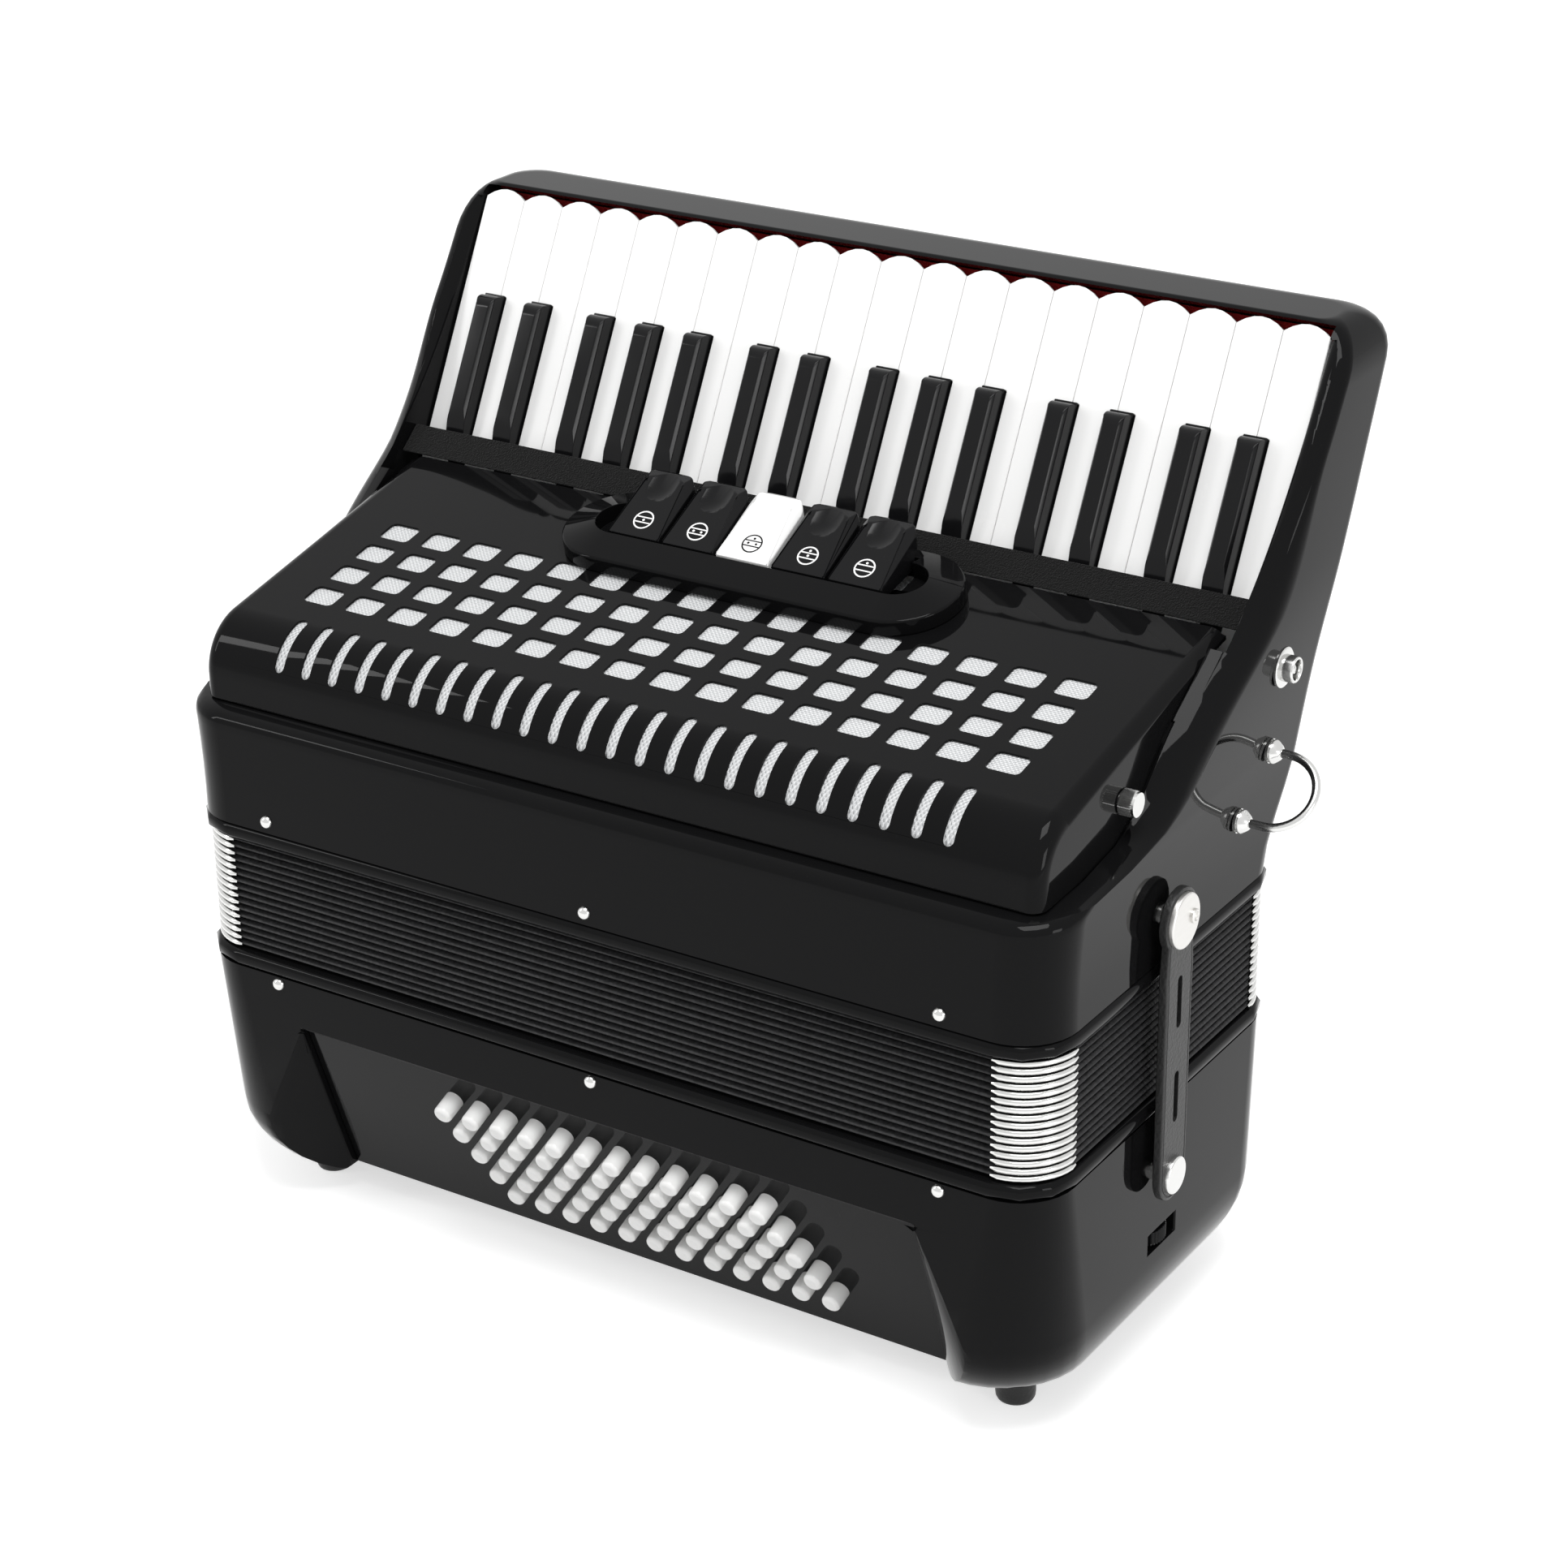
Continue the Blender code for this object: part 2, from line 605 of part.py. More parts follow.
    # Strap wheel slot, air button hole
    slot_height = WHEEL_THICKNESS / 2 + 0.001
    slot = box((HALF_LENGTH - 2 * BASS_WALL, -WHEEL_RADIUS, WHEEL_Z - slot_height),
               (HALF_LENGTH + BASS_WALL, WHEEL_RADIUS, WHEEL_Z + slot_height))
    boolean(casing, place("wheel_slot_cut", slot, None, BASS_FRAME, cutter=True))
    hole = bmesh.new()
    bore = AIR_BUTTON_DIAMETER + 0.001
    add_turned(hole, (AIR_BUTTON_X, HALF_DEPTH, AIR_BUTTON_Z),
               ((-1.5 * BASS_WALL, bore), (BASS_WALL, bore)), "Y")
    boolean(casing, place("air_button_hole_cut", hole, None, BASS_FRAME, cutter=True))

    # Feet, bellows pins and strap posts are carried by the casing
    fittings = bmesh.new()
    foot_x = HALF_LENGTH - FOOT_FROM_END
    foot_y = HALF_DEPTH - FOOT_FROM_WALL
    for x in (-foot_x, foot_x):
        for y in (-foot_y, foot_y):
            profile = ((0, FOOT_DIAMETER * 0.8), (FOOT_HEIGHT * 0.2, FOOT_DIAMETER),
                       (FOOT_HEIGHT + BASS_WALL / 2, FOOT_DIAMETER))
            add_turned(fittings, (x, y, 0), profile, "Z", 12)
    add_pins(fittings, BASS_TOP - PIN_INSET)
    add_posts(fittings, STRAP_LOWER_Z, True)
    boolean(casing, place("bass_fittings_join", fittings, None, BASS_FRAME, cutter=True), "UNION")
    return casing


def bass_button_board():
    """The sloping board with its five rows of twelve buttons."""
    half = RECESS_HALF - GAP
    board = place("bass_button_board", box((-half, -PANEL_DROP + GAP, -BOARD_THICKNESS),
                                           (half, -GAP, 0)), GLOSS_BLACK, PANEL_FRAME)
    buttons = bmesh.new()
    dome = BUTTON_DIAMETER * 0.15
    first_x = BUTTON_FIELD_X - (BUTTON_COLUMNS - 1) * BUTTON_PITCH / 2
    first_y = -BUTTON_FIELD_DOWN + (BUTTON_ROWS - 1) * BUTTON_ROW_PITCH / 2
    for row in range(BUTTON_ROWS):
        shift = (row - (BUTTON_ROWS - 1) / 2) * BUTTON_ROW_SHIFT
        for column in range(BUTTON_COLUMNS):
            x = first_x + column * BUTTON_PITCH + shift
            y = first_y - row * BUTTON_ROW_PITCH
            rings = []
            for radius, height in ((1, -0.001), (1, BUTTON_LENGTH - dome), (0.7, BUTTON_LENGTH)):
                reach = radius * BUTTON_DIAMETER / 2
                turn = [2 * math.pi * i / BUTTON_SIDES for i in range(BUTTON_SIDES)]
                rings.append([(x + reach * math.cos(a), y + reach * math.sin(a), height) for a in turn])
            piece = loft(rings)
            shape = bpy.data.meshes.new("button")
            piece.to_mesh(shape)
            piece.free()
            buttons.from_mesh(shape)
            bpy.data.meshes.remove(shape)
    boolean(board, place("bass_buttons_join", buttons, None, PANEL_FRAME, cutter=True), "UNION")
    return board


def bass_strap():
    """The hand strap bows down a little in its channel under the casing."""
    outer = []
    inner = []
    steps = 10
    for step in range(steps + 1):
        share = 2 * step / steps - 1
        x = share * HAND_STRAP_LENGTH / 2
        top = CHANNEL_FLOOR - GAP - HAND_STRAP_SAG * (1 - share ** 4)
        inner.append((x, top))
        outer.append((x, top - HAND_STRAP_THICKNESS))
    outline = inner + list(reversed(outer))
    half = HAND_STRAP_WIDTH / 2
    return place("bass_strap", prism(outline, -half, half, "Y"), LEATHER, BASS_FRAME)


def strap_wheel():
    """Thumb wheel and screw that tighten the hand strap; its rim shows through a slot."""
    x = HALF_LENGTH + WHEEL_PROUD - WHEEL_RADIUS
    half = WHEEL_THICKNESS / 2
    rings = []
    for z in (-half, half):
        rim = []
        for tooth in range(WHEEL_TEETH):
            angle = 2 * math.pi * tooth / WHEEL_TEETH
            reach = WHEEL_RADIUS * (1.0 if tooth % 2 else 0.95)
            rim.append((reach * math.cos(angle), reach * math.sin(angle), z))
        rings.append(rim)
    wheel = place("strap_wheel", loft(rings), KEY_BLACK, BASS_FRAME, (x, 0, WHEEL_Z))
    shaft = bmesh.new()
    add_turned(shaft, (0, 0, 0), ((-WHEEL_SHAFT_REACH, WHEEL_SHAFT), (WHEEL_SHAFT_REACH, WHEEL_SHAFT)),
               "Z", 10)
    boolean(wheel, place("wheel_shaft_join", shaft, None, BASS_FRAME, (x, 0, WHEEL_Z), cutter=True), "UNION")
    return wheel


def turned(name, profile, finish, parent, location, axis_turn, steps):
    """A turned piece: a profile of radius and height, spun once about its own Z."""
    mesh = bpy.data.meshes.new(name)
    mesh.from_pydata([(radius, 0, height) for radius, height in profile],
                     [(i, i + 1) for i in range(len(profile) - 1)], [])
    mesh.materials.append(finish)
    made = bpy.data.objects.new(name, mesh)
    made.parent = parent
    made.location = location
    made.rotation_euler = axis_turn
    spin = made.modifiers.new("spin", "SCREW")
    spin.steps = steps
    spin.render_steps = steps
    spin.use_merge_vertices = True
    spin.merge_threshold = 0.00001
    PARTS.objects.link(made)
    return made


def air_button():
    """The bellows air valve's button, through the back wall, held by a flange inside."""
    inner = HALF_DEPTH - BASS_WALL - GAP
    radius = AIR_BUTTON_DIAMETER / 2
    flange = AIR_BUTTON_FLANGE / 2
    tip = BASS_WALL + GAP + AIR_BUTTON_PROUD
    profile = [(0, tip), (radius * 0.8, tip), (radius, tip - 0.001), (radius, 0), (flange, 0),
               (flange, -AIR_BUTTON_FLANGE_THICKNESS), (0, -AIR_BUTTON_FLANGE_THICKNESS)]
    return turned("air_button", profile, KEY_BLACK, BASS_FRAME, (AIR_BUTTON_X, inner, AIR_BUTTON_Z),
                  (-math.pi / 2, 0, 0), 16)


def bead(name, base, parent):
    """A bellows frame: a bead that stands proud of the casing wall all round."""
    half_x = HALF_LENGTH + BEAD_PROUD
    half_y = HALF_DEPTH + BEAD_PROUD
    section = ((0.0015, 0.0), (0.0, 0.3), (0.0, 0.7), (0.0015, 1.0), (BEAD_WIDTH, 1.0), (BEAD_WIDTH, 0.0))
    rings = []
    for inset, share in section:
        corner = max(BODY_CORNER + BEAD_PROUD - inset, 0.006)
        rings.append(rounded_ring(half_x - inset, inset - half_y, half_y - inset, corner, corner,
                                  base + share * BEAD_HEIGHT))
    return place(name, loft(rings, closed=True), GLOSS_BLACK, parent)


def bellows():
    """Sixteen folds between the two frames, as an open tube with a thin zigzag wall."""
    half_x = HALF_LENGTH - BELLOWS_END_IN
    half_y = HALF_DEPTH - BELLOWS_SIDE_IN

    def ring(index, skin):
        inset = (0.0 if index % 2 else FOLD_DEPTH) + skin
        corner = max(BODY_CORNER - 0.001 - inset, 0.004)
        return rounded_ring(half_x - inset, inset - half_y, half_y - inset, corner, corner,
                            BELLOWS_BASE + index * FOLD_PITCH / 2)

    count = 2 * FOLD_COUNT + 1
    outer = [ring(i, 0.0) for i in range(count)]
    inner = [ring(i, FOLD_SKIN) for i in reversed(range(count))]
    return place("bellows", loft(outer + inner, closed=True), BELLOWS_CLOTH, BASS_FRAME)


def bellows_strap(name, side):
    """A leather strap that turns on its lower pin and covers the upper post when closed."""
    outline = []
    low_radius = STRAP_WIDTH / 2
    high_radius = STRAP_HEAD_WIDTH / 2
    for step in range(9):
        angle = math.radians(180 + 180 * step / 8)
        outline.append((low_radius * math.cos(angle), low_radius * math.sin(angle)))
    outline.append((low_radius, STRAP_STUDS - 2 * high_radius))
    for step in range(11):
        angle = math.radians(-20 + 220 * step / 10)
        outline.append((high_radius * math.cos(angle), STRAP_STUDS + high_radius * math.sin(angle)))
    outline.append((-low_radius, STRAP_STUDS - 2 * high_radius))
    near, far = sorted((0.0, side * STRAP_THICKNESS))
    location = (side * STRAP_INNER_X, STRAP_Y, STRAP_LOWER_Z)
    strap = place(name, prism(outline, near, far), LEATHER, BASS_FRAME, location)

    slots = bmesh.new()
    for centre in STRAP_SLOT_CENTRES:
        reach = STRAP_SLOT_LENGTH / 2
        half = STRAP_SLOT_WIDTH / 2
        add_prism(slots, [(-half, centre - reach + half), (0, centre - reach), (half, centre - reach + half),
                          (half, centre + reach - half), (0, centre + reach), (-half, centre + reach - half)],
                  near - 0.002, far + 0.002)
    boolean(strap, place(name + "_slots_cut", slots, None, BASS_FRAME, location, cutter=True))
    discs = bmesh.new()
    for z, diameter in ((0.0, STRAP_LOWER_DISC), (STRAP_STUDS, STRAP_UPPER_DISC)):
        face = STRAP_THICKNESS + STRAP_DISC_THICKNESS
        profile = ((side * (STRAP_THICKNESS - 0.001), diameter), (side * (face - 0.001), diameter),
                   (side * face, diameter * 0.86))
        add_turned(discs, (0, 0, z), profile, "X", 20)
    boolean(strap, place(name + "_discs_join", discs, None, BASS_FRAME, location, cutter=True), "UNION")
    bore = bmesh.new()
    clear = STRAP_PIN + 2 * GAP
    add_turned(bore, (0, 0, 0), ((-side * 0.001, clear), (side * STRAP_THICKNESS, clear)), "X", 12)
    boolean(strap, place(name + "_bore_cut", bore, None, BASS_FRAME, location, cutter=True))
    return strap


def treble_casing():
    """One moulded casing: front wall, swept ends that rise into the cheeks, back and top rail."""
    heights = [FRONT_WALL_HEIGHT * share for share in (0.0, 0.16, 0.47, 0.80, 1.0)]
    heights += [height for _, height in RIM_LINE]
    rail_start = TREBLE_HEIGHT - TOP_RADIUS
    heights += [rail_start + TOP_RADIUS * math.sin(math.radians(a)) for a in (20, 40, 60, 78, 90)]
    rings = []
    for height in sorted(heights):
        front = -HALF_DEPTH if height <= FRONT_WALL_HEIGHT else line_at(in_metres(RIM_LINE), height)
        back = line_at(in_metres(BACK_LINE), height)
        half = end_half(height)
        if height > rail_start:
            rise = (height - rail_start) / TOP_RADIUS
            pull = TOP_RADIUS * (1 - math.sqrt(max(1 - rise * rise, 0.0)))
            half -= TOP_END_SHARE * pull
            back -= pull
            front += TOP_FRONT_SHARE * pull
        fade = smooth((height - CHEEK_CORNER_START) / (CHEEK_CORNER_END - CHEEK_CORNER_START))
        front_corner = BODY_CORNER + (CHEEK_CORNER - BODY_CORNER) * fade
        fade = smooth(height / FRONT_WALL_HEIGHT)
        back_corner = BODY_CORNER + (BACK_CORNER - BODY_CORNER) * fade
        rings.append(rounded_ring(half, front, back, front_corner, back_corner, TREBLE_BASE + height))
    casing = place("treble_casing", loft(rings), GLOSS_BLACK, TREBLE_FRAME)

    def raised(line):
        return [(y, TREBLE_BASE + height) for y, height in in_metres(line)]

    far = 0.30
    above = raised(GRILLE_SEAT) + raised([(GRILLE_SEAT[-1][0], far), (GRILLE_SEAT[0][0], far)])
    boolean(casing, place("grille_seat_cut", prism(above, -SEAT_HALF, SEAT_HALF), None, TREBLE_FRAME,
                          cutter=True))
    trough_low = AXLE_ALONG - TROUGH_LENGTH
    rail_face = AXLE_ALONG + KEY_ARC + RAIL_GAP
    trough = box((-TROUGH_HALF, trough_low, AXLE_BELOW - KEY_BED), (TROUGH_HALF, rail_face, 0.06))
    boolean(casing, place("key_trough_cut", trough, None, KEY_FRAME, cutter=True))
    front = POCKET_FRONT - HALF_DEPTH
    back = HALF_DEPTH - BASS_WALL
    corner = frame_point(KEY_TIP, KEY_TURN, -TROUGH_LENGTH, -KEY_BED)
    overlap = 0.002
    hollow = [(front, TREBLE_BASE - 0.01), (back, TREBLE_BASE - 0.01)]
    hollow += [(back + out, TREBLE_BASE + up) for out, up in HOLLOW_BACK]
    hollow += [(back + HOLLOW_BACK[-1][0] + 0.5 * HOLLOW_TURN, corner[1] - 2.3 * HOLLOW_TURN)]
    hollow += [(corner[0] + HOLLOW_TURN, corner[1] - OVERCUT)]
    hollow += [(corner[0] - HOLLOW_TURN, corner[1] + 1.8 * HOLLOW_TURN)]
    hollow += [(y, z + overlap) for y, z in reversed(raised(GRILLE_SEAT[1:]))]
    hollow += [(front, TREBLE_BASE + GRILLE_SEAT[1][1] + overlap)]
    reach = HALF_LENGTH - POCKET_END
    boolean(casing, place("treble_hollow_cut", prism(hollow, -reach, reach), None, TREBLE_FRAME,
                          cutter=True))

    bores = bmesh.new()
    for y, rise in in_metres((RING_UPPER, RING_LOWER)):
        for side in (-1, 1):
            deep = end_half(rise) - RING_SHANK - GAP
            clear = RING_ROD + 0.0008
            profile = ((side * deep, clear), (side * (deep + 3 * RING_SHANK), clear))
            add_turned(bores, (0, y, TREBLE_BASE + rise), profile, "X", 10)
    boolean(casing, place("ring_bores_cut", bores, None, TREBLE_FRAME, cutter=True))

    fittings = bmesh.new()
    add_pins(fittings, TREBLE_BASE + PIN_INSET + 0.0018)
    add_posts(fittings, STRAP_LOWER_Z + STRAP_STUDS, False)
    for side in (-1, 1):
        face = end_half(STUD_RISE)
        flange = face + STUD_FLANGE_THICKNESS
        profile = ((side * (face - 0.004), STUD_FLANGE), (side * flange, STUD_FLANGE),
                   (side * flange, STUD_RING), (side * (face + STUD_PROUD), STUD_RING))
        add_turned(fittings, (0, STUD_SHARE * HALF_DEPTH, TREBLE_BASE + STUD_RISE), profile, "X", 14)
    boolean(casing, place("treble_fittings_join", fittings, None, TREBLE_FRAME, cutter=True), "UNION")
    return casing


def seat_z(y):
    """Height of the grille's seat on the casing at a distance from the front."""
    return TREBLE_BASE + line_at([(height, at) for at, height in in_metres(GRILLE_SEAT)], y)


def grille_outline(inset=0.0, rear_inset=0.0, rear_y=GRILLE_REAR_Y):
    """The cover's top line in y and z, from the front wall over the nose to the rear edge."""
    normal = (-math.sin(GRILLE_SLOPE), math.cos(GRILLE_SLOPE))
    reach = normal[0] * GRILLE_REAR[0] + normal[1] * GRILLE_REAR[1]
    centre_y = GRILLE_FRONT_Y + GRILLE_NOSE
    centre_z = (reach - GRILLE_NOSE - normal[0] * centre_y) / normal[1]
    radius = GRILLE_NOSE - inset
    points = []
    sweep = math.pi / 2 - GRILLE_SLOPE
    for step in range(GRILLE_NOSE_STEPS + 1):
        angle = math.pi - sweep * step / GRILLE_NOSE_STEPS
        points.append((centre_y + radius * math.cos(angle), centre_z + radius * math.sin(angle)))
    points.append((rear_y, (reach - rear_inset - normal[0] * rear_y) / normal[1]))
    return points


def grille_solid(wall):
    """The cover's outer shape with round ends, or with a wall size, the space inside it."""
    drop = GRILLE_WALL if wall else 0.0
    rear_y = GRILLE_REAR_Y + wall
    rings = []
    for side in (-1, 1):
        for angle in (0, 45, 90):
            round_in = GRILLE_EDGE * (1 - math.sin(math.radians(angle)))
            end_in = GRILLE_EDGE * (1 - math.cos(math.radians(angle)))
            x = side * (GRILLE_HALF - wall - end_in)
            rear_in = wall + min(round_in, GRILLE_REAR_EDGE)
            ring = [(x, y, z) for y, z in grille_outline(wall + round_in, rear_in, rear_y)]
            under = [rear_y] + [y for y, _ in reversed(in_metres(GRILLE_SEAT[1:-1]))]
            under.append(GRILLE_FRONT_Y + wall + round_in)
            rings.append(ring + [(x, y, seat_z(y) + GAP - drop) for y in under])
    return loft(rings[:3] + list(reversed(rings[3:])))


def rounded_rectangle(cx, cy, length, width, corner):
    """A rectangle whose corners are cut once."""
    x, y = length / 2, width / 2
    return [(cx - x + corner, cy - y), (cx + x - corner, cy - y), (cx + x, cy - y + corner),
            (cx + x, cy + y - corner), (cx + x - corner, cy + y), (cx - x + corner, cy + y),
            (cx - x, cy + y - corner), (cx - x, cy - y + corner)]


def grille_cover():
    """A thin curved shell with round ends, pierced by windows on top and slots round its nose."""
    cover = place("grille_cover", grille_solid(0.0), GLOSS_BLACK, TREBLE_FRAME)
    inside = place("grille_inside_cut", grille_solid(GRILLE_WALL), None, TREBLE_FRAME, cutter=True)
    boolean(cover, inside)

    windows = bmesh.new()
    for row in range(WINDOW_ROWS):
        for column in range(WINDOW_COLUMNS):
            x = (column - (WINDOW_COLUMNS - 1) / 2) * WINDOW_PITCH
            y = -WINDOW_FIRST_ROW - row * WINDOW_ROW_PITCH
            add_prism(windows, rounded_rectangle(x, y, WINDOW_LENGTH, WINDOW_WIDTH, WINDOW_CORNER),
                      -0.006, 0.004, "Z")
    boolean(cover, place("grille_windows_cut", windows, None, GRILLE_FRAME, cutter=True))

    # The slots are cut square to the chord of the nose that they span
    middle = (0, SLOT_MIDDLE_IN - HALF_DEPTH, TREBLE_BASE + SLOT_MIDDLE_RISE)
    nose_frame = empty("nose_frame", TREBLE_FRAME, middle, SLOT_TURN)
    slots = bmesh.new()
    half = SLOT_WIDTH / 2
    reach = SLOT_LENGTH / 2 - half
    for index in range(SLOT_COUNT):
        x = (index - (SLOT_COUNT - 1) / 2) * SLOT_PITCH
        ends = []
        for end, start in ((1, 0), (-1, 180)):
            for step in range(4):
                angle = math.radians(start + 60 * step)
                ends.append((x + half * math.cos(angle), end * reach + half * math.sin(angle)))
        add_prism(slots, ends, -0.006, 0.010, "Z")
    boolean(cover, place("grille_slots_cut", slots, None, nose_frame, cutter=True))
    half_switches = SWITCH_COUNT * SWITCH_PITCH / 2
    opening = box((-half_switches, -SWITCH_FRONT, -0.006), (half_switches, -SWITCH_HOLE_REAR, 0.004))
    boolean(cover, place("switch_opening_cut", opening, None, GRILLE_FRAME, cutter=True))
    screws = bmesh.new()
    for side in (-1, 1):
        profile = ((side * (GRILLE_HALF - GRILLE_WALL / 2), THUMB_SCREW_DIAMETER),
                   (side * (GRILLE_HALF + THUMB_SCREW_LENGTH), THUMB_SCREW_DIAMETER))
        start = (0, THUMB_SCREW_SHARE * HALF_DEPTH, TREBLE_BASE + THUMB_SCREW_RISE)
        add_turned(screws, start, profile, "X", 12)
    boolean(cover, place("thumb_screws_join", screws, None, TREBLE_FRAME, cutter=True), "UNION")
    return cover


def grille_cloth():
    """Cloth stretched under the cover, following its line."""
    depth = GRILLE_WALL + GAP
    rear_y = GRILLE_REAR_Y - GRILLE_WALL
    outer = grille_outline(depth, depth, rear_y)
    inner = grille_outline(depth + CLOTH_THICKNESS, depth + CLOTH_THICKNESS, rear_y)
    hem = GRILLE_NOSE / 6
    outer.insert(0, (outer[0][0], outer[0][1] - hem))
    inner.insert(0, (inner[0][0], inner[0][1] - hem))
    half = GRILLE_HALF - GRILLE_EDGE - 0.002
    return place("grille_cloth", prism(outer + list(reversed(inner)), -half, half), GRILLE_CLOTH,
                 TREBLE_FRAME)


def register_plate():
    """A raised stadium with a sloping edge, open in the middle for the switches."""
    radius = PLATE_WIDTH / 2
    run = PLATE_LENGTH / 2 - radius
    steps = 8
    rings = []
    for inset, height in ((0.0, GAP), (0.0, PLATE_HEIGHT - PLATE_CHAMFER), (PLATE_CHAMFER, PLATE_HEIGHT)):
        ring = []
        for centre, start in ((run, -90), (-run, 90)):
            for step in range(steps + 1):
                angle = math.radians(start + 180 * step / steps)
                ring.append((centre + (radius - inset) * math.cos(angle),
                             (radius - inset) * math.sin(angle) - PLATE_CENTRE, height))
        rings.append(ring)
    plate = place("register_plate", loft(rings), GLOSS_BLACK, GRILLE_FRAME)
    half = SWITCH_COUNT * SWITCH_PITCH / 2
    opening = box((-half, -SWITCH_FRONT - GAP, -0.001), (half, -SWITCH_HOLE_REAR, 0.02))
    boolean(plate, place("plate_opening_cut", opening, None, GRILLE_FRAME, cutter=True))
    return plate


def register_switch(name, index):
    """One rocker: a wedge with a thumb scoop, pivoting near its front edge."""
    front = -SWITCH_FRONT + GAP
    pivot_y = front + SWITCH_PIVOT_IN
    x = (index - (SWITCH_COUNT - 1) / 2) * SWITCH_PITCH
    neck = -SWITCH_HOLE_REAR - SWITCH_NOSE * 0.45
    outline = [
        (front, PLATE_HEIGHT), (front, SWITCH_FOOT), (neck, SWITCH_FOOT),
        (neck, PLATE_HEIGHT + SWITCH_OVERHANG * 0.45), (-SWITCH_REAR, PLATE_HEIGHT + SWITCH_OVERHANG),
        (-SWITCH_REAR, SWITCH_TOP - SWITCH_NOSE * 0.67),
        (-SWITCH_REAR - SWITCH_NOSE * 0.45, SWITCH_TOP - SWITCH_NOSE * 0.09),
        (-SWITCH_REAR - SWITCH_NOSE, SWITCH_TOP)]
    local = [(y - pivot_y, z - SWITCH_PIVOT_UP) for y, z in outline]
    half = SWITCH_WIDTH / 2
    location = (x, pivot_y, SWITCH_PIVOT_UP)
    finish = KEY_WHITE if index == SWITCH_COUNT // 2 else KEY_BLACK
    switch = place(name, prism(local, -half, half), finish, GRILLE_FRAME, location)
    scoop = bmesh.new()
    slope = math.atan2(SWITCH_TOP - PLATE_HEIGHT, SWITCH_FRONT - SWITCH_REAR - SWITCH_NOSE)
    rise = PLATE_HEIGHT - SWITCH_PIVOT_UP + SCOOP_ALONG * math.sin(slope)
    lift = SCOOP_RADIUS - SCOOP_DEPTH
    centre = (SCOOP_ALONG * math.cos(slope) - math.sin(slope) * lift - SWITCH_PIVOT_IN,
              rise + math.cos(slope) * lift)
    wide = half * SCOOP_SHARE
    add_turned(scoop, (0, *centre), ((-wide, 2 * SCOOP_RADIUS), (wide, 2 * SCOOP_RADIUS)), "X", 32)
    boolean(switch, place(name + "_scoop_cut", scoop, None, GRILLE_FRAME, location, cutter=True))
    return switch


def key_line_x(line):
    return line * KEY_PITCH - KEYS_HALF


def axle_slot_outline():
    """The slot under a key's tail, open below, that drops over the axle."""
    half = AXLE_DIAMETER / 2 + GAP
    return [(half, -KEY_DEPTH), (half, 0.0), (half * 0.5, half * 0.87), (-half * 0.5, half * 0.87),
            (-half, 0.0), (-half, -KEY_DEPTH)]


def key_side(front, top_line):
    """A key's side outline in the key frame: its tail slot, its top line and its front."""
    floor = AXLE_BELOW - KEY_DEPTH
    tail = AXLE_ALONG - KEY_BODY
    slot = [(y, max(z, floor)) for y, z in axle_slot_outline()]
    return [(tail, floor)] + list(reversed(slot)) + front + top_line


def white_key(name, index):
    """A white key: its tail is narrowed for the black keys and its front edge is an arc."""
    surface = AXLE_BELOW
    front = [(AXLE_ALONG - KEY_LIP, AXLE_BELOW - KEY_DEPTH), (AXLE_ALONG - KEY_LIP, surface - KEY_LIP_DEPTH),
             (AXLE_ALONG + KEY_ARC + 0.001, surface - KEY_LIP_DEPTH), (AXLE_ALONG + KEY_ARC + 0.001, surface)]
    side = key_side(front, [(AXLE_ALONG - KEY_BODY, surface)])
    half = KEY_PITCH / 2 - KEY_GAP / 2
    x = key_line_x(index + 0.5)
    key = place(name, prism(side, -half - 0.001, half + 0.001), KEY_WHITE, KEY_FRAME, (x, 0, 0))

    notches = dict(BLACK_KEYS)
    clear = BLACK_FOOT / 2 + KEY_GAP
    left = -half
    right = half
    if index in notches:
        left = key_line_x(index) + notches[index] + clear - x
    if index + 1 in notches:
        right = key_line_x(index + 1) + notches[index + 1] - clear - x
    tail = AXLE_ALONG - KEY_BODY - 0.001
    shoulder = AXLE_ALONG - BLACK_FRONT + KEY_GAP
    plan = [(right, tail)]
    if right < half:
        plan += [(right, shoulder), (half, shoulder)]
    bulge = KEY_ARC
    for step in range(KEY_ARC_STEPS + 1):
        share = 1 - 2 * step / KEY_ARC_STEPS
        plan.append((half * share, AXLE_ALONG + bulge * (1 - share * share)))
    if left > -half:
        plan += [(-half, shoulder), (left, shoulder)]
    plan.append((left, tail))
    shape = prism(plan, AXLE_BELOW - KEY_DEPTH - 0.001, surface + 0.001, "Z")
    boolean(key, place(name + "_plan", shape, None, KEY_FRAME, (x, 0, 0), cutter=True), "INTERSECT")
    return key


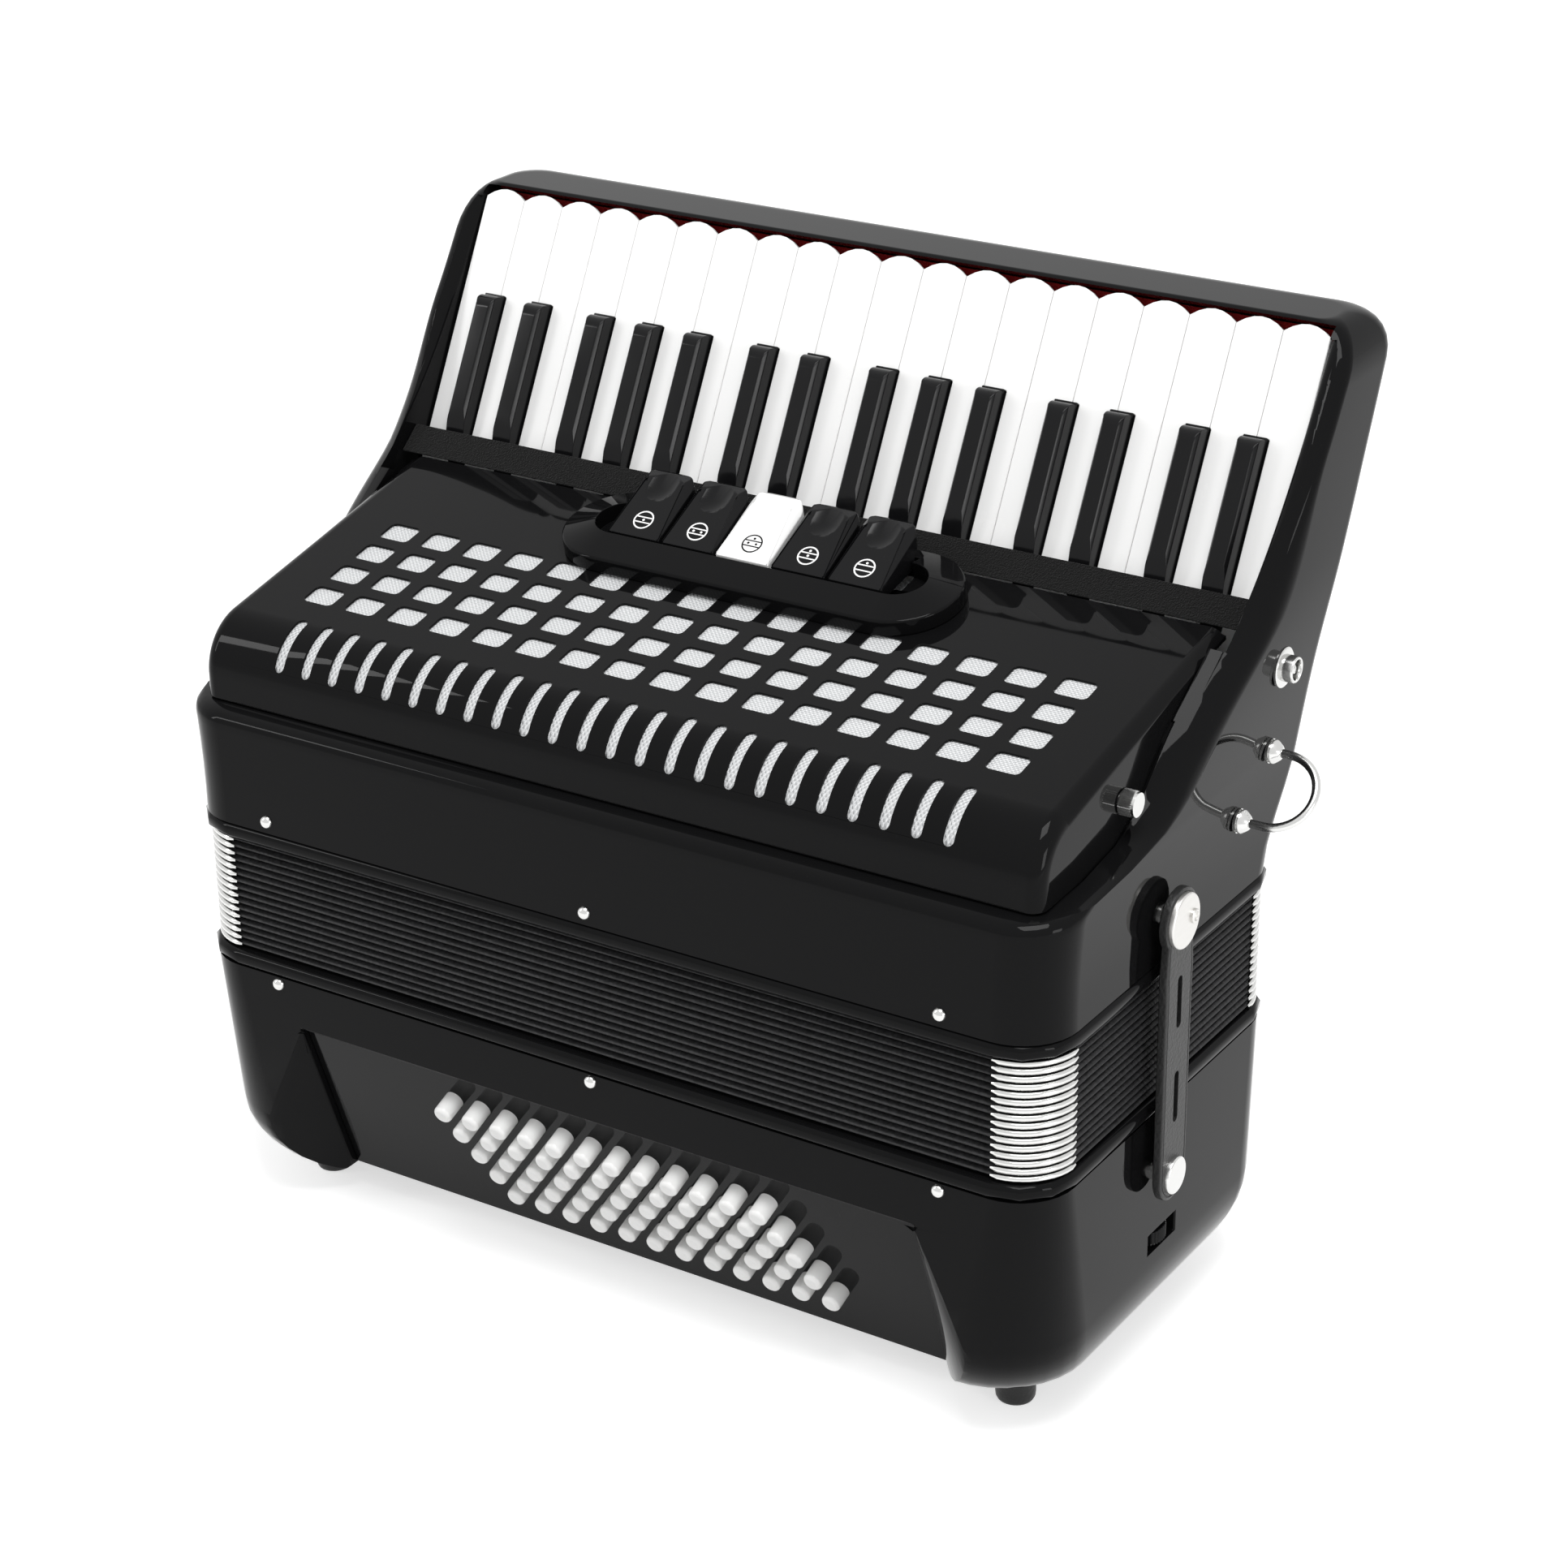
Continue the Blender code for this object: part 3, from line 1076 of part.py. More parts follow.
def black_key(name, line, shift):
    """A black key: a rounded front, a level crest and a bend down to its root."""
    surface = AXLE_BELOW
    crest = surface + BLACK_HEIGHT
    tip = AXLE_ALONG - BLACK_FRONT
    root = AXLE_ALONG - KEY_VISIBLE
    front = [(tip, surface - KEY_DEPTH), (tip, surface + 0.001)]
    drop = BLACK_HEIGHT * 0.55
    for step in range(4):
        angle = math.radians(90 * step / 3)
        front.append((tip - 0.001 - 0.0045 * (1 - math.cos(angle)), crest - drop * (1 - math.sin(angle))))
    top = [(AXLE_ALONG - BLACK_BEND, crest), (root, surface + BLACK_ROOT_HEIGHT),
           (root - 0.0015, surface - 0.002), (AXLE_ALONG - KEY_BODY, surface - 0.002)]
    side = key_side(front, top)
    half = BLACK_FOOT / 2
    x = key_line_x(line) + shift
    key = place(name, prism(side, -half - 0.001, half + 0.001), KEY_BLACK, KEY_FRAME, (x, 0, 0))
    crest_half = BLACK_CREST / 2
    section = [(-half, surface - KEY_DEPTH - 0.001), (half, surface - KEY_DEPTH - 0.001), (half, surface),
               (crest_half + 0.0008, crest - 0.0012), (crest_half, crest + 0.0002),
               (-crest_half, crest + 0.0002), (-crest_half - 0.0008, crest - 0.0012), (-half, surface)]
    shape = prism(section, AXLE_ALONG - KEY_BODY - 0.001, tip + 0.001, "Y")
    boolean(key, place(name + "_section", shape, None, KEY_FRAME, (x, 0, 0), cutter=True), "INTERSECT")
    return key


def key_axle():
    """The steel rod that all keys turn on, held between the cheeks."""
    mesh = bmesh.new()
    length = 2 * (TROUGH_HALF - GAP)
    add_turned(mesh, (0, 0, 0), ((-length / 2, AXLE_DIAMETER), (length / 2, AXLE_DIAMETER)), "X", 10)
    return place("key_axle", mesh, CHROME, KEY_FRAME)


def key_felt():
    """The black felt strip over the key roots, between the keys and the grille."""
    top = AXLE_ALONG - KEY_VISIBLE
    low = AXLE_ALONG + REAR_FROM_TIP[0] + GAP * 2
    low_out = AXLE_BELOW + REAR_FROM_TIP[1]
    high_out = AXLE_BELOW + BLACK_HEIGHT + ROOT_FELT_CLEAR
    outline = [(top, high_out - ROOT_FELT), (top, high_out), (low, low_out), (low, low_out - ROOT_FELT)]
    return place("key_felt", prism(outline, -KEYS_HALF, KEYS_HALF), BLACK_FELT, KEY_FRAME)


def rail_felt():
    """The red felt that lies on the key bed below the key fronts."""
    bed = AXLE_BELOW - KEY_BED
    low = (-KEYS_HALF, AXLE_ALONG - KEY_LIP + 0.0008, bed + GAP)
    high = (KEYS_HALF, AXLE_ALONG + KEY_ARC + RAIL_GAP - GAP, AXLE_BELOW - KEY_LIP_DEPTH - KEY_DIP - 0.0006)
    return place("rail_felt", box(low, high), RED_FELT, KEY_FRAME)


def reed_block(name, base, direction, height, half_x, front, back, rows, parent):
    """A reed board with tapered blocks that stand into the bellows."""
    low, high = sorted((base, base + direction * REED_BOARD))
    corner = BODY_CORNER
    rings = [rounded_ring(half_x, front, back, corner, corner, z) for z in (low, high)]
    board = place(name, loft(rings), REED_WOOD, parent)
    blocks = bmesh.new()
    for share in rows:
        y = share * HALF_DEPTH
        foot = base + direction * (REED_BOARD - 0.001)
        tip = base + direction * (REED_BOARD + height)
        add_prism(blocks, [(y - REED_BLOCK_BASE / 2, foot), (y + REED_BLOCK_BASE / 2, foot),
                           (y + REED_BLOCK_CREST / 2, tip), (y - REED_BLOCK_CREST / 2, tip)],
                  -REED_BLOCK_LENGTH / 2, REED_BLOCK_LENGTH / 2)
    boolean(board, place(name + "_join", blocks, None, parent, cutter=True), "UNION")
    return board


def strap_ring(name, side):
    """A bent rod for a shoulder strap, with a cone where each leg enters the casing."""
    (upper_y, upper_rise), (lower_y, lower_rise) = in_metres((RING_UPPER, RING_LOWER))
    upper = Vector((0, upper_y, TREBLE_BASE + upper_rise))
    lower = Vector((0, lower_y, TREBLE_BASE + lower_rise))
    faces = (end_half(RING_UPPER[1]), end_half(RING_LOWER[1]))
    radius = (upper - lower).length / 2
    middle = (upper + lower) / 2
    toward = (upper - lower).normalized()
    shoulder = max(faces) + RING_REACH - radius
    path = [upper + Vector((faces[0] - RING_SHANK, 0, 0))]
    for step in range(11):
        angle = math.radians(90 - 180 * step / 10)
        path.append(middle + toward * radius * math.sin(angle)
                    + Vector((shoulder + radius * math.cos(angle), 0, 0)))
    path.append(lower + Vector((faces[1] - RING_SHANK, 0, 0)))
    curve = bpy.data.curves.new(name + "_rod", "CURVE")
    curve.dimensions = "3D"
    curve.bevel_depth = RING_ROD / 2
    curve.bevel_resolution = 2
    curve.use_fill_caps = True
    spline = curve.splines.new("POLY")
    spline.points.add(len(path) - 1)
    for point, spot in zip(spline.points, path):
        point.co = (side * spot.x, spot.y, spot.z, 1.0)
    rod = bpy.data.objects.new(name + "_rod", curve)
    scene.collection.objects.link(rod)
    bpy.context.view_layer.update()
    evaluated = rod.evaluated_get(bpy.context.evaluated_depsgraph_get())
    shape = bpy.data.meshes.new_from_object(evaluated)
    mesh = bmesh.new()
    mesh.from_mesh(shape)
    bmesh.ops.remove_doubles(mesh, verts=mesh.verts, dist=0.00001)
    bpy.data.objects.remove(rod, do_unlink=True)
    bpy.data.meshes.remove(shape)
    ring = place(name, mesh, CHROME, TREBLE_FRAME)
    cones = bmesh.new()
    for spot, face in ((upper, faces[0]), (lower, faces[1])):
        base = face + RING_CONE_GAP
        profile = ((side * base, RING_CONE), (side * (base + RING_CONE_LENGTH), RING_ROD * 1.4))
        add_turned(cones, (0, spot.y, spot.z), profile, "X", 12)
    boolean(ring, place(name + "_cones_join", cones, None, TREBLE_FRAME, cutter=True), "UNION")
    return ring


bass_casing()
bass_button_board()
bass_strap()
strap_wheel()
air_button()
bead("bass_bellows_frame", BASS_TOP + GAP, BASS_FRAME)
bead("treble_bellows_frame", BELLOWS_TOP + GAP, TREBLE_FRAME)
bellows()
bellows_strap("bellows_strap_low_end", 1)
bellows_strap("bellows_strap_high_end", -1)
treble_casing()
grille_cover()
grille_cloth()
register_plate()
for switch_index in range(SWITCH_COUNT):
    register_switch(f"register_switch_{switch_index + 1}", switch_index)
for key_index in range(WHITE_KEYS):
    white_key(f"white_key_{key_index + 1:02d}", key_index)
for key_number, (key_line, key_shift) in enumerate(BLACK_KEYS, 1):
    black_key(f"black_key_{key_number:02d}", key_line, key_shift)
key_axle()
key_felt()
rail_felt()
POCKET_HALF = HALF_LENGTH - POCKET_END - GAP
reed_block("treble_reed_block", TREBLE_BASE + TREBLE_BOARD_RISE + REED_BOARD, -1, TREBLE_BLOCK_HEIGHT,
           POCKET_HALF, POCKET_FRONT - HALF_DEPTH + GAP, HALF_DEPTH - BASS_WALL - GAP,
           TREBLE_REED_ROWS, TREBLE_FRAME)
reed_block("bass_reed_block", BASS_TOP - BASS_BOARD_BELOW, 1, BASS_BLOCK_HEIGHT,
           HALF_LENGTH - BASS_WALL - GAP, BASS_WALL - HALF_DEPTH + GAP, HALF_DEPTH - BASS_WALL - GAP,
           BASS_REED_ROWS, BASS_FRAME)
strap_ring("strap_ring_low_end", 1)
strap_ring("strap_ring_high_end", -1)
bpy.context.view_layer.update()
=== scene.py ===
# %% [markdown]
# # Dressing a piano accordion
#
# The solid model of the accordion is loaded as a fixed frame. Around it this lesson makes the pieces that
# a viewer sees: polished black shells, ivory-white keys, chrome, leather, bellows cloth and felt. Each
# chapter first says what the real piece is, and then shows one way to make it.

# %% Load the frame
import bpy
import math
from mathutils import Matrix, Vector


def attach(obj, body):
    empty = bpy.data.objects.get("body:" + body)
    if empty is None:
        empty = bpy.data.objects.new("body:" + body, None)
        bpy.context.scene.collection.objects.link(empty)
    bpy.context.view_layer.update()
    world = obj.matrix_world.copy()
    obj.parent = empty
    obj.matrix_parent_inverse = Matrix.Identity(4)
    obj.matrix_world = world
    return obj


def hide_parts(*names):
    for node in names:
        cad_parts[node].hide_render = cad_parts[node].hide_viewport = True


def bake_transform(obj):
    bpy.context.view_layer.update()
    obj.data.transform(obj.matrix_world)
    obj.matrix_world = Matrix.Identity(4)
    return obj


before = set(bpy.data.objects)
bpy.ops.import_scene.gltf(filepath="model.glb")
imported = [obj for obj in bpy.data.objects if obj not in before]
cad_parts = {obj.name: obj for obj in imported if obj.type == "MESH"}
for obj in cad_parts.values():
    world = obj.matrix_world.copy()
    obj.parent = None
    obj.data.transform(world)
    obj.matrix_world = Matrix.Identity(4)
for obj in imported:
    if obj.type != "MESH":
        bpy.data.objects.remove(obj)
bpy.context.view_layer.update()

# %% [markdown]
# ## Frames of reference
#
# The keyboard, the grille, the button board and the grille's nose are all tilted. It is far easier to model
# a key lying flat and to tilt it afterwards, so each tilted place gets a matrix: a turn about X and an
# origin. A piece is modelled in its own flat frame and seated with that matrix.

# %% Frames
STAND_SHIFT = -0.028
GRILLE_SLOPE = 12.05
HALF_LENGTH = 0.1885
HALF_DEPTH = 0.091
TREBLE_BASE = 0.1669
BASS_TOP = 0.1057
GAP = 0.0003


def tilted(y, z, degrees):
    """A frame whose X runs along the keyboard and which is turned about X."""
    return Matrix.Translation((0, y, z)) @ Matrix.Rotation(math.radians(degrees), 4, "X")


KEY_FRAME = tilted(0.038098, 0.258211, 61.9)
GRILLE_FRAME = tilted(0.0225, 0.2694, GRILLE_SLOPE)
PANEL_FRAME = tilted(-0.119, 0.0855, 110.8)
NOSE_FRAME = tilted(-0.101, 0.2377, 40.4)

# %% [markdown]
# ## Small tools
#
# Operators act on whatever is selected, so every tool below starts by clearing the selection. A shell is
# made from a grid whose rows are laid one above the other, the way a potter builds up coils: the grid gives
# clean rows of four-sided faces that take a smooth polish.

# %% Selection and modifiers


def deselect():
    if bpy.context.object and bpy.context.object.mode != "OBJECT":
        bpy.ops.object.mode_set(mode="OBJECT")
    bpy.ops.object.select_all(action="DESELECT")


def pick(*pieces):
    deselect()
    for piece in pieces:
        piece.select_set(True)
    bpy.context.view_layer.objects.active = pieces[0]
    return pieces[0]


def finish_modifier(piece, kind, **settings):
    """Adds a modifier with its settings and applies it."""
    pick(piece)
    step = piece.modifiers.new(kind.lower(), kind)
    for name, value in settings.items():
        setattr(step, name, value)
    bpy.ops.object.modifier_apply(modifier=step.name)
    return piece


def seat(piece, place):
    """Applies a frame to the mesh itself, so the object stays at the origin."""
    pick(piece)
    piece.matrix_world = place @ piece.matrix_world
    bpy.ops.object.transform_apply(location=True, rotation=True, scale=True)
    return piece


# %% Editing a mesh


def edit_all(piece):
    pick(piece)
    bpy.ops.object.mode_set(mode="EDIT")
    bpy.ops.mesh.select_all(action="SELECT")


def close_edit():
    bpy.ops.object.mode_set(mode="OBJECT")


def tidy_normals(piece, merge=0.00001):
    edit_all(piece)
    bpy.ops.mesh.remove_doubles(threshold=merge)
    bpy.ops.mesh.normals_make_consistent(inside=False)
    close_edit()
    return piece


def join(name, pieces):
    pick(*pieces)
    if len(pieces) > 1:
        bpy.ops.object.join()
    pieces[0].name = name
    pieces[0].data.name = name
    return pieces[0]


def copy_of(piece, name):
    twin = piece.copy()
    twin.data = piece.data.copy()
    twin.name = name
    bpy.context.scene.collection.objects.link(twin)
    return twin


def smooth(piece, degrees=35):
    """Smooth shading in which large faces stay flat and the small ones around them carry the turn."""
    pick(piece)
    bpy.ops.object.shade_smooth_by_angle(angle=math.radians(degrees))
    return finish_modifier(piece, "WEIGHTED_NORMAL", weight=100, keep_sharp=True)


def round_edges(piece, width, segments=2, degrees=40):
    """A small radius on every hard edge: it is this edge that catches the light."""
    return finish_modifier(piece, "BEVEL", width=width, segments=segments, limit_method="ANGLE",
                           angle_limit=math.radians(degrees), use_clamp_overlap=False,
                           miter_outer="MITER_ARC")


# %% Shells and prisms


def rows_to_shell(name, rows, capped=True):
    """A grid whose rows are closed rings of points, one above the other, with both ends closed."""
    columns = len(rows[0])
    deselect()
    bpy.ops.mesh.primitive_grid_add(x_subdivisions=columns, y_subdivisions=len(rows) - 1, size=1)
    piece = bpy.context.object
    piece.name = name
    for vertex in piece.data.vertices:
        column = round((vertex.co.x + 0.5) * columns) % columns
        row = round((vertex.co.y + 0.5) * (len(rows) - 1))
        vertex.co = rows[row][column]
    edit_all(piece)
    bpy.ops.mesh.remove_doubles(threshold=0.000001)
    if capped:
        bpy.ops.mesh.fill_holes(sides=0)
    bpy.ops.mesh.select_all(action="SELECT")
    bpy.ops.mesh.normals_make_consistent(inside=False)
    close_edit()
    return piece


def prism(name, outline, low, high, axis="X"):
    """A flat circle pulled to an outline and extruded along an axis."""
    deselect()
    bpy.ops.mesh.primitive_circle_add(vertices=len(outline), radius=1, fill_type="NGON")
    piece = bpy.context.object
    piece.name = name
    for vertex, (a, b) in zip(piece.data.vertices, outline):
        vertex.co = {"X": (low, a, b), "Y": (a, low, b), "Z": (a, b, low)}[axis]
    edit_all(piece)
    step = {"X": (high - low, 0, 0), "Y": (0, high - low, 0), "Z": (0, 0, high - low)}[axis]
    bpy.ops.mesh.extrude_region_move(TRANSFORM_OT_translate={"value": step})
    bpy.ops.mesh.select_all(action="SELECT")
    bpy.ops.mesh.normals_make_consistent(inside=False)
    close_edit()
    return piece


def box(name, low, high, place=None):
    outline = [(low[1], low[2]), (high[1], low[2]), (high[1], high[2]), (low[1], high[2])]
    piece = prism(name, outline, low[0], high[0])
    return seat(piece, place) if place else piece


# %% Turned pieces, cuts and outlines


def turned(name, profile, axis="Z", start=(0, 0, 0), sides=32):
    """A lathe: pairs of distance along the axis and radius, each pair one turned ring."""
    rows = []
    for along, radius in profile:
        row = []
        for side in range(sides):
            angle = 2 * math.pi * side / sides
            a, b = radius * math.cos(angle), radius * math.sin(angle)
            local = {"X": (along, a, b), "Y": (b, along, a), "Z": (a, b, along)}[axis]
            row.append([start[i] + local[i] for i in range(3)])
        rows.append(row)
    return rows_to_shell(name, rows)


def cut(piece, cutter, operation="DIFFERENCE"):
    """A Boolean with an exact solver; the cutter is removed afterwards."""
    finish_modifier(piece, "BOOLEAN", object=cutter, operation=operation, solver="EXACT")
    bpy.data.objects.remove(cutter, do_unlink=True)
    return piece


def rounded_outline(half_x, low_y, high_y, low_corner, high_corner, steps):
    """A rectangle in plan with round corners, counter-clockwise."""
    points = []
    corners = ((half_x - low_corner, low_y + low_corner, low_corner, -90),
               (half_x - high_corner, high_y - high_corner, high_corner, 0),
               (-half_x + high_corner, high_y - high_corner, high_corner, 90),
               (-half_x + low_corner, low_y + low_corner, low_corner, 180))
    for x, y, radius, start in corners:
        for step in range(steps + 1):
            angle = math.radians(start + 90 * step / steps)
            points.append((x + radius * math.cos(angle), y + radius * math.sin(angle)))
    return points


# %% [markdown]
# ## Finishes
#
# Three effects are kept apart as node groups: a polish that is never quite even, a weave of crossing
# threads, and the pebbled grain of leather and felt. A group only hands over heights, masks and gloss values.
# The shader itself stays in the material.

# %% Polish


def new_group(name, inputs, outputs):
    group = bpy.data.node_groups.new(name, "ShaderNodeTree")
    for label, kind, value in inputs:
        socket = group.interface.new_socket(label, in_out="INPUT", socket_type=kind)
        socket.default_value = value
    for label, kind in outputs:
        group.interface.new_socket(label, in_out="OUTPUT", socket_type=kind)
    start = group.nodes.new("NodeGroupInput")
    end = group.nodes.new("NodeGroupOutput")
    return group, start, end


def math_node(tree, operation, first, second=None):
    node = tree.nodes.new("ShaderNodeMath")
    node.operation = operation
    for socket, value in zip(node.inputs, (first, second)):
        if value is None:
            continue
        if isinstance(value, (int, float)):
            socket.default_value = value
        else:
            tree.links.new(value, socket)
    return node.outputs[0]


def polish_group():
    """Slow waves in the gloss and a few fine dust specks."""
    group, start, end = new_group("uneven_polish", [("Scale", "NodeSocketFloat", 30.0),
                                                    ("Low", "NodeSocketFloat", 0.05),
                                                    ("High", "NodeSocketFloat", 0.12)],
                                  [("Roughness", "NodeSocketFloat"), ("Dust", "NodeSocketFloat")])
    place = group.nodes.new("ShaderNodeTexCoord")
    waves = group.nodes.new("ShaderNodeTexNoise")
    waves.inputs["Detail"].default_value = 5
    group.links.new(place.outputs["Object"], waves.inputs["Vector"])
    group.links.new(start.outputs["Scale"], waves.inputs["Scale"])
    spread = group.nodes.new("ShaderNodeMapRange")
    spread.inputs["From Min"].default_value = 0.35
    spread.inputs["From Max"].default_value = 0.7
    group.links.new(waves.outputs["Fac"], spread.inputs["Value"])
    group.links.new(start.outputs["Low"], spread.inputs["To Min"])
    group.links.new(start.outputs["High"], spread.inputs["To Max"])
    group.links.new(spread.outputs["Result"], end.inputs["Roughness"])
    specks = group.nodes.new("ShaderNodeTexVoronoi")
    specks.inputs["Scale"].default_value = 420
    group.links.new(place.outputs["Object"], specks.inputs["Vector"])
    near = math_node(group, "LESS_THAN", specks.outputs["Distance"], 0.07)
    group.links.new(near, end.inputs["Dust"])
    return group


# %% Weave and grain


def weave_group():
    """Two sets of threads that cross, as a height and as which of the two lies on top."""
    group, start, end = new_group("crossed_threads", [("Vector", "NodeSocketVector", (0, 0, 0)),
                                                      ("Threads", "NodeSocketFloat", 900.0)],
                                  [("Height", "NodeSocketFloat"), ("Across", "NodeSocketFloat")])
    heights = []
    for turn in (45, -45):
        aim = group.nodes.new("ShaderNodeMapping")
        aim.inputs["Rotation"].default_value = (0, 0, math.radians(turn))
        group.links.new(start.outputs["Vector"], aim.inputs["Vector"])
        wave = group.nodes.new("ShaderNodeTexWave")
        wave.inputs["Distortion"].default_value = 1.5
        wave.inputs["Detail"].default_value = 2
        wave.inputs["Detail Scale"].default_value = 3
        group.links.new(aim.outputs["Vector"], wave.inputs["Vector"])
        group.links.new(start.outputs["Threads"], wave.inputs["Scale"])
        heights.append(wave.outputs["Fac"])
    group.links.new(math_node(group, "MAXIMUM", *heights), end.inputs["Height"])
    group.links.new(math_node(group, "SUBTRACT", *heights), end.inputs["Across"])
    return group


def grain_group():
    """Pebbles of two sizes."""
    group, start, end = new_group("pebble_grain", [("Scale", "NodeSocketFloat", 600.0)],
                                  [("Height", "NodeSocketFloat"), ("Shade", "NodeSocketFloat")])
    place = group.nodes.new("ShaderNodeTexCoord")
    cells = group.nodes.new("ShaderNodeTexVoronoi")
    group.links.new(place.outputs["Object"], cells.inputs["Vector"])
    group.links.new(start.outputs["Scale"], cells.inputs["Scale"])
    fine = group.nodes.new("ShaderNodeTexNoise")
    fine.inputs["Detail"].default_value = 6
    group.links.new(place.outputs["Object"], fine.inputs["Vector"])
    group.links.new(math_node(group, "MULTIPLY", start.outputs["Scale"], 2.3), fine.inputs["Scale"])
    total = math_node(group, "ADD", cells.outputs["Distance"], fine.outputs["Fac"])
    group.links.new(total, end.inputs["Height"])
    group.links.new(fine.outputs["Fac"], end.inputs["Shade"])
    return group


POLISH = polish_group()
WEAVE = weave_group()
GRAIN = grain_group()
print("node groups:", len(bpy.data.node_groups))

# %% Material helpers


def new_finish(name, colour, roughness, metallic=0.0, **sockets):
    finish = bpy.data.materials.new(name)
    finish.use_nodes = True
    shader = finish.node_tree.nodes["Principled BSDF"]
    shader.inputs["Base Color"].default_value = (*colour, 1)
    shader.inputs["Roughness"].default_value = roughness
    shader.inputs["Metallic"].default_value = metallic
    for label, value in sockets.items():
        shader.inputs[label.replace("_", " ")].default_value = value
    return finish, finish.node_tree, shader


def place_group(tree, group, **values):
    node = tree.nodes.new("ShaderNodeGroup")
    node.node_tree = group
    for label, value in values.items():
        node.inputs[label].default_value = value
    return node


def blend_colours(tree, mask, first, second):
    mix = tree.nodes.new("ShaderNodeMix")
    mix.data_type = "RGBA"
    mix.inputs[6].default_value = (*first, 1)
    mix.inputs[7].default_value = (*second, 1)
    tree.links.new(mask, mix.inputs[0])
    return mix.outputs[2]


def bump(tree, shader, height, strength, distance):
    node = tree.nodes.new("ShaderNodeBump")
    node.inputs["Strength"].default_value = strength
    node.inputs["Distance"].default_value = distance
    tree.links.new(height, node.inputs["Height"])
    tree.links.new(node.outputs["Normal"], shader.inputs["Normal"])


# %% Glossy finishes


def polished(name, base, speck, low, high, scale=30.0, **sockets):
    """A polished plastic with an uneven gloss and a trace of dust."""
    finish, tree, shader = new_finish(name, base, low, **sockets)
    gloss = place_group(tree, POLISH, Scale=scale, Low=low, High=high)
    tree.links.new(gloss.outputs["Roughness"], shader.inputs["Roughness"])
    tree.links.new(blend_colours(tree, gloss.outputs["Dust"], base, speck), shader.inputs["Base Color"])
    return finish


CELLULOID = polished("polished_black_celluloid", (0.0050, 0.0050, 0.0053), (0.009, 0.009, 0.009), 0.02, 0.05,
                     Specular_IOR_Level=0.075)
IVORY = polished("white_key_gloss", (0.92, 0.92, 0.915), (0.88, 0.88, 0.87), 0.18, 0.28,
                 Specular_IOR_Level=0.25)
EBONY = polished("black_key_gloss", (0.0055, 0.0055, 0.0060), (0.012, 0.012, 0.012), 0.12, 0.20,
                 Specular_IOR_Level=0.16)
BUTTON_WHITE = polished("white_button_gloss", (0.86, 0.86, 0.85), (0.8, 0.8, 0.78), 0.14, 0.2)


# %% Plated metal


def brushed(name, colour, roughness, scale, stretch):
    """Metal with fine lines that follow one direction."""
    finish, tree, shader = new_finish(name, colour, roughness, 1.0)
    place = tree.nodes.new("ShaderNodeTexCoord")
    aim = tree.nodes.new("ShaderNodeMapping")
    aim.inputs["Scale"].default_value = stretch
    tree.links.new(place.outputs["Object"], aim.inputs["Vector"])
    lines = tree.nodes.new("ShaderNodeTexNoise")
    lines.inputs["Scale"].default_value = scale
    lines.inputs["Detail"].default_value = 4
    tree.links.new(aim.outputs["Vector"], lines.inputs["Vector"])
    spread = tree.nodes.new("ShaderNodeMapRange")
    spread.inputs["To Min"].default_value = roughness * 0.7
    spread.inputs["To Max"].default_value = roughness * 1.6
    tree.links.new(lines.outputs["Fac"], spread.inputs["Value"])
    tree.links.new(spread.outputs["Result"], shader.inputs["Roughness"])
    bump(tree, shader, lines.outputs["Fac"], 0.15, 0.0001)
    return finish


CHROME = brushed("nickel_plate", (0.66, 0.66, 0.65), 0.16, 700, (1, 1, 1))
BRUSHED_DISC = brushed("brushed_disc", (0.66, 0.65, 0.63), 0.30, 900, (1, 0.12, 1))

# %% Leather and felt


def leather(name, colour):
    finish, tree, shader = new_finish(name, colour, 0.42, Specular_IOR_Level=0.35)
    grain = place_group(tree, GRAIN, Scale=750.0)
    lighter = [c * 1.9 for c in colour]
    tree.links.new(blend_colours(tree, grain.outputs["Shade"], colour, lighter), shader.inputs["Base Color"])
    bump(tree, shader, grain.outputs["Height"], 0.35, 0.0003)
    return finish


def felt(name, colour, fibre):
    finish, tree, shader = new_finish(name, colour, 0.95, Sheen_Weight=0.08, Specular_IOR_Level=0.1)
    grain = place_group(tree, GRAIN, Scale=1500.0)
    tree.links.new(blend_colours(tree, grain.outputs["Shade"], colour, fibre), shader.inputs["Base Color"])
    bump(tree, shader, grain.outputs["Height"], 0.9, 0.0006)
    return finish


# %% Cloth


def grille_cloth():
    """Silver threads laid both ways over each other. The thread on top is painted lighter and the one beneath
    it darker, as painted highlight and painted shade on one silver.
    """
    finish, tree, shader = new_finish("silver_grille_cloth", (0.7, 0.71, 0.72), 0.42, Specular_IOR_Level=0.5)
    place = tree.nodes.new("ShaderNodeTexCoord")
    threads = place_group(tree, WEAVE, Threads=260.0)
    tree.links.new(place.outputs["Object"], threads.inputs["Vector"])
    # Painted light and shade: where one thread lies over the other, the silver is painted lighter or darker.
    painted_thread_light = tree.nodes.new("ShaderNodeMapRange")
    painted_thread_light.inputs["From Min"].default_value = -0.6
    painted_thread_light.inputs["From Max"].default_value = 0.8
    tree.links.new(threads.outputs["Across"], painted_thread_light.inputs["Value"])
    tree.links.new(blend_colours(tree, painted_thread_light.outputs["Result"], (0.50, 0.51, 0.52), (0.86, 0.87, 0.88)),
                   shader.inputs["Base Color"])
    bump(tree, shader, threads.outputs["Height"], 0.7, 0.0005)
    return finish


